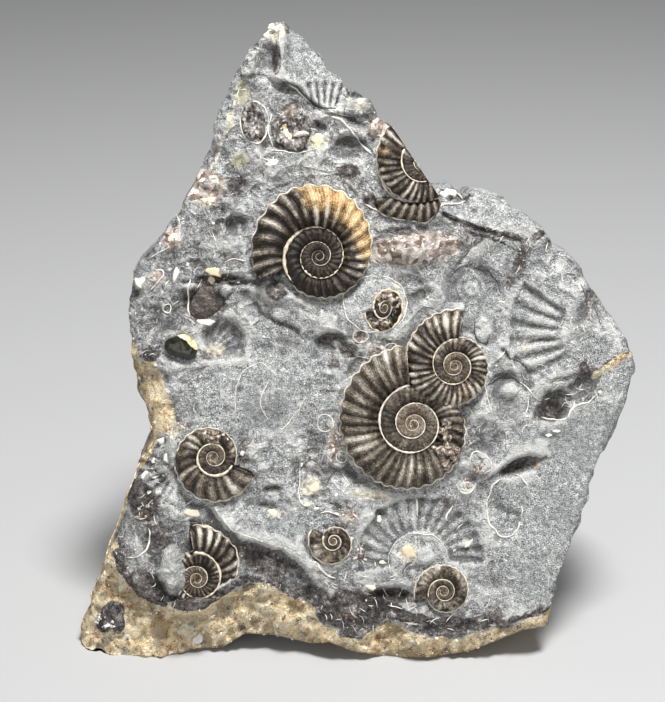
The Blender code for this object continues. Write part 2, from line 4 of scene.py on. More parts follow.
import bmesh
import bpy
import numpy as np
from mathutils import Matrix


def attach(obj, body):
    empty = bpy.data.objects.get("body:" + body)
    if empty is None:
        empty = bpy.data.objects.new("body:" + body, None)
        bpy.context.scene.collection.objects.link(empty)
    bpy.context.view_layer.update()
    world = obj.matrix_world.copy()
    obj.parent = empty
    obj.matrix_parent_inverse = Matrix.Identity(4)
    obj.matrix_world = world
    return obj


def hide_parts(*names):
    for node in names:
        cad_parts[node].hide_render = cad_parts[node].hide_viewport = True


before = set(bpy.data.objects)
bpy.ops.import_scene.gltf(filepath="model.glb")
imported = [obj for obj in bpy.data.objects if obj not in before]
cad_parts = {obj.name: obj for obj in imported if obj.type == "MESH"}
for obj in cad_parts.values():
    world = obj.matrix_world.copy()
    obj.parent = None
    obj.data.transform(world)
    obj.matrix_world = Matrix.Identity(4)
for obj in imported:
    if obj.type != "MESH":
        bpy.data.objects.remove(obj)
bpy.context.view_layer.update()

print("frame loaded,", len(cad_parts), "solids")

fullTurn, quarterTurn = 2 * math.pi, math.pi / 2
millimetre = 0.001
# The face is drawn with u to the right, v up its slope and w out of the stone, in millimetres. The eye is where its
# outline was read from, square in front of it, and tall is how much of it fills the picture's height.
face = {"lean": math.radians(22), "eye": 405.0, "eyeHeight": 68.9, "tall": 157.95, "lift": 1.9, "centre": (6.2, 31.9)}
outward = np.array([0, -math.cos(face["lean"]), math.sin(face["lean"])])


def onFace(u, v, w):
    # Leans the drawing back. What lies deeper is spread out from the point that the eye looks at.
    wider = 1 - w / face["eye"]
    up = face["eyeHeight"] + (v - face["eyeHeight"]) * wider
    x = u * wider - face["centre"][0]
    y = up * math.sin(face["lean"]) - w * math.cos(face["lean"]) - face["centre"][1]
    z = up * math.cos(face["lean"]) + w * math.sin(face["lean"]) + face["lift"]
    return np.stack([x, y, z], axis=-1)


def ease(x):
    # The S-curve 1 / (1 + e^-4x): 0 well below zero, 1 well above it.
    return 1 / (1 + np.exp(-np.clip(4 * x, -60, 60)))


def spun(a, b, angle):
    # Turned anticlockwise about zero: a cos - b sin, and b cos + a sin.
    c, s = np.cos(angle), np.sin(angle)
    return a * c - b * s, b * c + a * s


def fromMiddle(u, v, middle, turn):
    # Places as seen from a middle, with its turn in degrees taken out.
    return spun(u - middle[0], v - middle[1], -math.radians(turn))


def flat(u, v):
    # Points of a level drawing.
    return np.stack([u, v, np.zeros_like(u)], axis=-1)


def ringAngles(count):
    # Evenly spaced angles round a full turn.
    return np.arange(count) * fullTurn / count


def cornerNumber(i, j, k, seed):
    # One fixed number from -1 to 1 for each lattice corner, by mixing the bits of its three indices.
    n = i * np.uint32(374761393) + j * np.uint32(668265263) + k * np.uint32(2147483629) + np.uint32(seed * 97 + 13)
    n = (n ^ (n >> np.uint32(13))) * np.uint32(1274126177)
    n = (n ^ (n >> np.uint32(15))) * np.uint32(2246822519)
    return ((n ^ (n >> np.uint32(16))) & np.uint32(65535)) / 32767.5 - 1


def lumpyNoise(p, size, seed):
    # Numbers at the corners of a lattice of this size, blended between corners by t squared times (3 - 2t).
    q = p / size
    low = np.floor(q)
    t = q - low
    t = t * t * (3 - 2 * t)
    cell = low.astype(np.int64).astype(np.uint32)
    total = np.zeros(p.shape[:-1])
    for corner in range(8):
        step = [corner >> n & 1 for n in range(3)]
        weight = np.prod([t[..., n] if step[n] else 1 - t[..., n] for n in range(3)], axis=0)
        total += weight * cornerNumber(*(cell[..., n] + np.uint32(step[n]) for n in range(3)), seed)
    return total


def layeredNoise(p, size, layers, seed, fall=0.5):
    # Lumpy noise with finer layers added, each half the size of the last and weaker by the fall.
    return sum(fall**n * lumpyNoise(p + 31.7 * n, size / 2**n, seed + n) for n in range(layers))


def scarNoise(p, size, seed):
    # The lowest of many shallow bowls: one bowl stands at a random place in each lattice cell, at a random height,
    # and rises with the square of the distance. Where two bowls meet there is an edge, as between flaked scars.
    q = p / size
    cell = np.floor(q).astype(np.int64)
    lowest = np.full(p.shape[:-1], np.inf)
    layers = (-1, 0, 1) if np.ptp(p[..., 2]) > 0 else (0,)
    for step in [(i, j, k) for i in (-1, 0, 1) for j in (-1, 0, 1) for k in layers]:
        corner = (cell + step).astype(np.uint32)
        parts = [cornerNumber(*(corner[..., n] for n in range(3)), seed + more) for more in range(5)]
        away = [q[..., n] - (cell[..., n] + step[n] + 0.5 + 0.42 * parts[n]) for n in range(min(3, len(layers) + 1))]
        bowl = sum(d * d for d in away) + 0.28 * parts[3] + 0.22 * parts[4] * away[0]
        lowest = np.minimum(lowest, bowl)
    return lowest - 0.15


def alongLine(line, count=None, pitch=None, closed=False):
    # Points at even spacing along a polyline.
    line = np.array(list(line) + ([line[0]] if closed else []), float)
    far = np.concatenate([[0], np.cumsum(np.hypot(*np.diff(line, axis=0).T))])
    at = np.linspace(0, far[-1], count or max(3, int(far[-1] / pitch) + 1))
    return np.stack([np.interp(at, far, line[:, 0]), np.interp(at, far, line[:, 1])], axis=1)


def rounded(line, closed=False, times=2):
    # Cuts a polyline's corners: each pass puts points a quarter and three quarters of the way along every side.
    line = np.array(line, float)
    for _ in range(times):
        on = np.roll(line, -1, axis=0)
        first, last = line[:1], line[-1:]
        line = np.stack([0.75 * line + 0.25 * on, 0.25 * line + 0.75 * on], axis=1).reshape(-1, 2)
        if not closed:
            line = np.concatenate([first, line[:-2], last])
    return line


def besideLine(u, v, line):
    # Signed distance from a polyline, positive on its left, and how far past its ends each point lies.
    nearest, side, past = np.full(u.shape, np.inf), np.zeros(u.shape), np.zeros(u.shape)
    last = len(line) - 2
    for n, ((a, b), (c, d)) in enumerate(zip(line, line[1:])):
        length = math.hypot(c - a, d - b)
        t = ((u - a) * (c - a) + (v - b) * (d - b)) / length**2
        held = np.clip(t, 0, 1)
        du, dv = u - a - held * (c - a), v - b - held * (d - b)
        away = np.hypot(du, dv)
        closer = away < nearest
        nearest = np.where(closer, away, nearest)
        side = np.where(closer, np.sign((c - a) * dv - (d - b) * du), side)
        over = np.where(t < 0, -t * (n == 0), np.where(t > 1, (t - 1) * (n == last), 0)) * length
        past = np.where(closer, over, past)
    return nearest * side, past


def addEach(total, u, v, rows, reachOf, heightOf):
    # Adds each row's height to the total, only within reach of the box round the row's points.
    for row in rows:
        points = np.array(row[0], float).reshape(-1, 2)
        low, high = points.min(axis=0) - reachOf(row), points.max(axis=0) + reachOf(row)
        near = (u > low[0]) & (u < high[0]) & (v > low[1]) & (v < high[1])
        if near.any():
            total[near] += heightOf(u[near], v[near], *row)


def makePiece(name, points, faces, material, attributes=None, nodes=()):
    # Puts whole arrays of millimetre points, and of faces with 3 or 4 corners, into a mesh that rides on the block.
    mesh = bpy.data.meshes.new(name)
    loops = np.concatenate([part.ravel() for part in faces]).astype(np.int32)
    sizes = np.concatenate([np.full(len(part), part.shape[1]) for part in faces])
    mesh.vertices.add(len(points))
    mesh.vertices.foreach_set("co", (points * millimetre).astype(np.float32).ravel())
    mesh.loops.add(len(loops))
    mesh.loops.foreach_set("vertex_index", loops)
    mesh.polygons.add(len(sizes))
    mesh.polygons.foreach_set("loop_start", (np.cumsum(sizes) - sizes).astype(np.int32))
    for key, values in (attributes or {}).items():
        values = np.broadcast_to(values, len(points)).astype(np.float32)
        mesh.attributes.new(key, "FLOAT", "POINT").data.foreach_set("value", values)
    mesh.update(calc_edges=True)
    mesh.shade_smooth()
    piece = bpy.data.objects.new(name, mesh)
    bpy.context.scene.collection.objects.link(piece)
    mesh.materials.append(material)
    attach(piece, "root")
    if nodes:
        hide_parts(*nodes)
    return piece


def gridFaces(number, closeAcross=False, closeAlong=False):
    # Quads of a grid of vertex numbers, joined round where it closes.
    if closeAcross:
        number = np.concatenate([number, number[:, :1]], axis=1)
    if closeAlong:
        number = np.concatenate([number, number[:1]])
    return np.stack([number[:-1, :-1], number[:-1, 1:], number[1:, 1:], number[1:, :-1]], axis=-1).reshape(-1, 4)


def tubeFaces(rows, columns):
    # A tube's quads, and its end rows fanned to the two extra points numbered after the grid.
    number = np.arange(rows * columns).reshape(rows, columns)
    start, end = number[0], number[-1]
    return [gridFaces(number, closeAcross=True),
            np.stack([np.roll(start, -1), start, np.full_like(start, number.size)], axis=-1),
            np.stack([end, np.roll(end, -1), np.full_like(end, number.size + 1)], axis=-1)]


def facingOut(points, faces):
    # Turns all faces round if the volume that they enclose comes out negative.
    volume = sum(
        np.einsum("ij,ij->", points[part[:, 0]], np.cross(points[part[:, n]], points[part[:, n + 1]]))
        for part in faces
        for n in range(1, part.shape[1] - 1)
    )
    return faces if volume > 0 else [part[:, ::-1] for part in faces]


def tone(red, green, blue):
    # A colour given as it looks on a screen, 0 to 255, turned into the linear values that a shader takes.
    return (*[(((c / 255) + 0.055) / 1.055) ** 2.4 if c > 10 else c / 255 / 12.92 for c in (red, green, blue)], 1.0)


class Wire:
    # A shader node's output. Adding to it, taking from it or multiplying it makes a Math node.
    def __init__(self, socket):
        self.socket, self.tree = socket, socket.id_data

    def calc(self, way, other=0.0):
        return shaderNode(self.tree, "Math", 0, {0: self, 1: other}, operation=way)

    def __add__(self, other):
        return self.calc("ADD", other)

    def __sub__(self, other):
        return self.calc("SUBTRACT", other)

    def __mul__(self, other):
        return self.calc("MULTIPLY", other)


def putIn(made, inputs):
    # Each input is either joined to a wire or set to a value.
    for key, value in inputs.items():
        if isinstance(value, Wire):
            value.tree.links.new(value.socket, made.inputs[key])
        else:
            made.inputs[key].default_value = value


def shaderNode(tree, kind, output, inputs=None, **settings):
    # Makes a node with these settings and inputs, and gives back one of its outputs as a wire.
    made = tree.nodes.new("ShaderNode" + kind)
    for key, value in settings.items():
        setattr(made, key, value)
    putIn(made, inputs or {})
    return Wire(made.outputs[output])


def blend(factor, first, second, way="MIX"):
    # The second colour laid over the first by the factor. It may be given as a tone.
    second = tone(*second) if isinstance(second, tuple) else second
    return shaderNode(factor.tree, "Mix", 2, {0: factor, 6: first, 7: second}, data_type="RGBA", blend_type=way)


def ramp(value, *stops):
    # A colour for each value: every stop is a value and the tone there.
    made = shaderNode(value.tree, "ValToRGB", "Color", {"Fac": value})
    marks = made.socket.node.color_ramp.elements
    while len(marks) < len(stops):
        marks.new(0.5)
    for mark, (at, *colour) in zip(marks, stops):
        mark.position = at
        mark.color = tone(*colour)
    return made


def between(value, low, high):
    # 0 below low, 1 above high and smooth between. Low may be the higher of the two.
    inputs = {"Value": value, "From Min": low, "From Max": high}
    return shaderNode(value.tree, "MapRange", "Result", inputs, interpolation_type="SMOOTHSTEP")


def noise(place, across, detail, output="Fac", **more):
    # Noise whose lumps are about this many millimetres across.
    inputs = {"Vector": place, "Scale": 1000 / across, "Detail": detail, "Roughness": 0.6, **more}
    return shaderNode(place.tree, "TexNoise", output, inputs)


def cells(place, across):
    # Distance to the nearest of points scattered this many millimetres apart, and a tone of its own for each.
    away = shaderNode(place.tree, "TexVoronoi", "Distance", {"Vector": place, "Scale": 1000 / across})
    return away, Wire(away.socket.node.outputs["Color"])


def painted(place, name):
    # An amount painted on the piece's points.
    return shaderNode(place.tree, "Attribute", "Fac", attribute_name=name)


def ragged(mask, lumps, amount):
    # A painted mask with its edge broken up by noise.
    return between(mask + (lumps - 0.5) * amount, 0.36, 0.64)


def startMaterial(name):
    # A new material, and the place on the piece that its patterns follow.
    made = bpy.data.materials.new(name)
    made.use_nodes = True
    return made, shaderNode(made.node_tree, "TexCoord", "Object")


def finishMaterial(made, colour, roughness, height, depth, specular=0.5):
    # Colour, gloss and bump into the shader. The bump's depth is in millimetres.
    inputs = {"Height": height, "Strength": 1.0, "Distance": depth * millimetre}
    bump = shaderNode(made.node_tree, "Bump", "Normal", inputs)
    putIn(made.node_tree.nodes["Principled BSDF"], {
        "Base Color": colour, "Roughness": roughness, "Normal": bump, "Specular IOR Level": specular})
    return made


# What an ammonite is where its own table below doesn't say. A sector is its middle angle, half-width and strength.
usual = {
    "start": 0, "turn": 0, "oval": 1,  # quarter turns left out at the mouth; then how the whole coil lies
    "narrow": 0.8, "ribbing": 1, "innerRibs": 0.35,  # the ribs' sharpness, and their height, outside and further in
    # The crests' light is a painted sheen. The darker sector takes it away on the side of a coil where shade falls.
    "paintedSheen": 1.0, "soft": 0, "patchy": 1, "inner": 0.45, "browned": 0.9,  # tone of crests and valleys; darker inside
    "golden": (0, -90, 0), "darker": (0, -90, 0), "broken": (0, -90, 0), "thick": (0, -90, 1),  # sectors
    "outline": 0.18, "edged": 0.35, "tint": 0.55,  # the line round it, its tint, and the seam's tint
}
# Each ammonite: its middle; the angle of its mouth and the way it coils inwards; ribs to a turn; how far its
# middle plane stands above the stone; half-thickness of the seam; and its radius at quarter turns inwards.
ammonites = {
    "ammonite_upper": {
        "middle": (-3, 90.2), "mouth": 225, "coils": -1, "ribs": 28, "proud": 0.6, "seam": 0.26,
        "golden": (50, 56, 1), "darker": (-100, 66, 0.7), "thick": (185, 60, 1.7), "start": 0.27, "paintedSheen": 1.05,
        "narrow": 1, "inner": 0.9, "browned": 0.12, "innerRibs": 0.9, "outline": 0.17,
        "radii": [(0, 14.6), (0.5, 15), (1.5, 16.6), (2.5, 11.2), (3, 9.9), (3.5, 9.1), (4.5, 8.3), (5.5, 6.8),
          (6.5, 5.5), (7.5, 5.2), (8.5, 4.4), (9.5, 3.4), (10.5, 2.6), (11.5, 2.1), (14, 1.2)],
    },
    "ammonite_lower": {
        "middle": (18.2, 52.4), "mouth": 95, "coils": 1, "ribs": 36, "proud": 0.6, "seam": 0.34,
        "thick": (140, 50, 1.3), "broken": (-22, 34, 1), "paintedSheen": 0.92, "tint": 0.25, "soft": 0.48, "patchy": 0.6,
        "radii": [(0, 17.9), (1, 16.2), (2, 14.2), (3, 11.2), (4, 9.2), (5, 7.9), (6, 6.5), (7, 5.8), (8, 4.9),
          (9, 4.1), (10, 3.2), (11, 2.7), (12, 2.2), (14, 1.4)],
    },
    "ammonite_overlapping": {
        "middle": (27.5, 65.5), "mouth": 81, "coils": 1, "ribs": 33, "proud": 2.2, "seam": 0.22, "soft": 0.22,
        "paintedSheen": 1.14, "golden": (-76, 26, 0.4), "patchy": 0.9,
        "radii": [(0, 12.9), (1, 11.1), (2, 8.8), (3, 7.4), (4, 6.5), (5, 5.1), (6, 4.3), (7, 3.8), (8, 3.3),
          (9, 2.6), (10, 2.1), (11, 1.7), (13, 1.1)],
    },
    "ammonite_edge": {
        "middle": (20.6, 111.2), "mouth": 120, "coils": 1, "ribs": 31, "proud": 0.6, "seam": 0.22,
        "golden": (158, 14, 0.5), "soft": 0.1,
        "radii": [(0, 11.6), (0.7, 10.4), (1.7, 8.6), (2.7, 7.4), (3.7, 6.4), (4.7, 5.2), (5.7, 4.4), (6.7, 3.5),
          (7.7, 2.9), (8.7, 2.4), (10.7, 1.6)],
    },
    "ammonite_left": {
        "middle": (-26.8, 45), "mouth": -23, "coils": -1, "ribs": 20, "proud": 0.5, "seam": 0.22,
        "thick": (250, 90, 1.4), "broken": (82, 34, 0.8), "soft": 0.34, "paintedSheen": 0.86, "patchy": 0.6,
        "radii": [(0, 9.9), (0.75, 9.9), (1.75, 8.5), (2.75, 6.3), (3.75, 5), (4.75, 4.4), (5.75, 3.8),
          (6.75, 3.1), (7.75, 2.7), (8.75, 2), (10.75, 1.3)],
    },
    "ammonite_crust": {
        "middle": (-30.5, 17.6), "mouth": 98, "coils": -1, "ribs": 28, "proud": 0.2, "seam": 0.28, "innerRibs": 0.8,
        "radii": [(0, 12.2), (1, 10.3), (1.25, 6.4), (2, 5.6), (3, 5.4), (4, 6.4), (5, 5.6), (6, 4.6), (7, 3.8),
          (8, 3), (9, 2.5), (11, 1.6)],
    },
    "ammonite_small_middle": {
        "middle": (0.2, 26.1), "mouth": 150, "coils": 1, "ribs": 15, "proud": 0.2, "seam": 0.2, "ribbing": 0.55,
        "golden": (-80, 50, 0.3), "broken": (90, 60, 0.45), "soft": 0.3,
        "radii": [(0, 5.5), (1, 5.3), (2, 4.2), (3, 3.2), (4, 2.6), (5, 2.3), (6, 1.9), (8, 1.2)],
    },
    "ammonite_small_right": {
        "middle": (25, 14.7), "mouth": 200, "coils": -1, "ribs": 26, "proud": 0.4, "seam": 0.18, "ribbing": 0.34,
        "soft": 0.45,
        "radii": [(0, 6.6), (1, 5.9), (2, 5.6), (3, 4.6), (4, 3.8), (5, 3), (6, 2.6), (7, 2.2), (9, 1.4)],
    },
    "ammonite_oblique": {
        "middle": (11.7, 78.6), "mouth": 200, "coils": 1, "ribs": 13, "proud": -0.1, "seam": 0.15, "ribbing": 0.8,
        "broken": (230, 200, 1), "paintedSheen": 0.5, "outline": 0.24, "edged": 0.7, "oval": 0.78, "turn": -15,
        "radii": [(0, 5.4), (2, 5), (4, 3), (6, 2), (8, 1.4)],
    },
}
# Broken shells and fragments: middle, half-widths, turn, height, hollow in the middle, ridges across. Cream is a line
# over it and the line's half-width. The first is a piece of a whorl, and its bow is rows of the angle about its hub,
# then the inner and the outer radius there.
usualShard = {"turn": 0, "hollow": 0, "ridges": 0, "proud": 0}
shards = {
    "ammonite_edge_whorl": {
        "slot": "dark_calcite", "middle": (15.6, 101.4), "half": (8.6, 3.3), "hub": (20.6, 111.2), "ribs": 8,
        "height": 0.8,
        "bow": [(-142, 11.6, 14.9), (-132, 10.5, 15), (-122, 10.1, 14.4), (-114, 9.7, 13.8), (-99, 8.9, 13.3),
          (-89, 8.5, 13.4), (-78, 8.4, 12), (-66, 8.4, 10.2)],
    },
    "ammonite_broken_left": {
        "slot": "brown_crystal", "middle": (-17.9, 120.6), "half": (2.7, 4.4), "turn": 10, "height": 1.2,
        "hollow": 0.9,
    },
    "ammonite_broken_right": {
        "slot": "brown_crystal", "middle": (-9.2, 118.3), "half": (4.5, 4), "turn": -20, "height": 1, "hollow": 0.8,
        "cream": ([(-10.9, 119.5), (-10.5, 118.4), (-9.6, 117)], 0.45),
    },
    "shell_fragment_glossy": {
        "slot": "black_shell", "middle": (-33.9, 69.8), "half": (3.8, 2.7), "turn": -12, "height": 1.7,
        "cream": ([(-36.6, 73.4), (-34.8, 73.4), (-32.5, 72), (-30.5, 70)], 0.8),
    },
    "shell_fragment_striated": {
        "slot": "striped_shell", "middle": (-28.5, 79.9), "half": (4.3, 3.3), "turn": 40, "height": 0.8, "ridges": 3,
    },
}
brokenEdge = [(13.2, 119.2), (23.5, 104)]  # where the stone's edge cuts two of them


def radiusAt(shape, quarters):
    # Radius after so many quarter turns: its logarithm read off the table and evened over a third of one each way.
    # Past the table's end it goes on shrinking to the shell's first chamber.
    at, size = map(list, zip(*shape["radii"]))
    at, size = at + [at[-1] + 4, at[-1] + 9, at[-1] + 13], size + [size[-1] * 0.5, size[-1] * 0.2, size[-1] * 0.01]
    spreadOut = np.linspace(-0.35, 0.35, 7)
    return np.exp(np.interp(np.asarray(quarters)[..., None] + spreadOut, at, np.log(size)).mean(axis=-1))


def unevenRing(shape, at):
    # A circle with three and five waves, a little angular, as a broken piece is.
    return 1 + 0.07 * np.sin(3 * at + shape["half"][0]) + 0.04 * np.sin(5 * at)


def distanceFrom(shape, u, v):
    # Distance outside a shell's outline. For an ammonite: the radius of each point less the outermost whorl's radius
    # at its angle. For a bow: past its outer or inner radius or its ends. Else: past the uneven ring.
    if "radii" in shape:
        a, b = fromMiddle(u, v, shape["middle"], shape["turn"])
        a = a / shape["oval"]
        turns = shape["coils"] * (np.arctan2(b, a) - math.radians(shape["mouth"])) / quarterTurn % 4
        return np.hypot(a, b) - radiusAt(shape, np.where(turns < shape["start"], turns + 4, turns))
    if "bow" in shape:
        a, b = u - shape["hub"][0], v - shape["hub"][1]
        r, at = np.hypot(a, b), np.degrees(np.arctan2(b, a))
        angles, inner, outer = zip(*shape["bow"])
        pastEnds = np.maximum(angles[0] - at, at - angles[-1]) * r * math.pi / 180
        away = np.maximum(r - np.interp(at, angles, outer), np.interp(at, angles, inner) - r)
        return np.maximum(away, pastEnds)
    a, b = fromMiddle(u, v, shape["middle"], shape["turn"])
    a, b = a / shape["half"][0], b / shape["half"][1]
    return (np.hypot(a, b) - unevenRing(shape, np.arctan2(b, a))) * min(shape["half"])


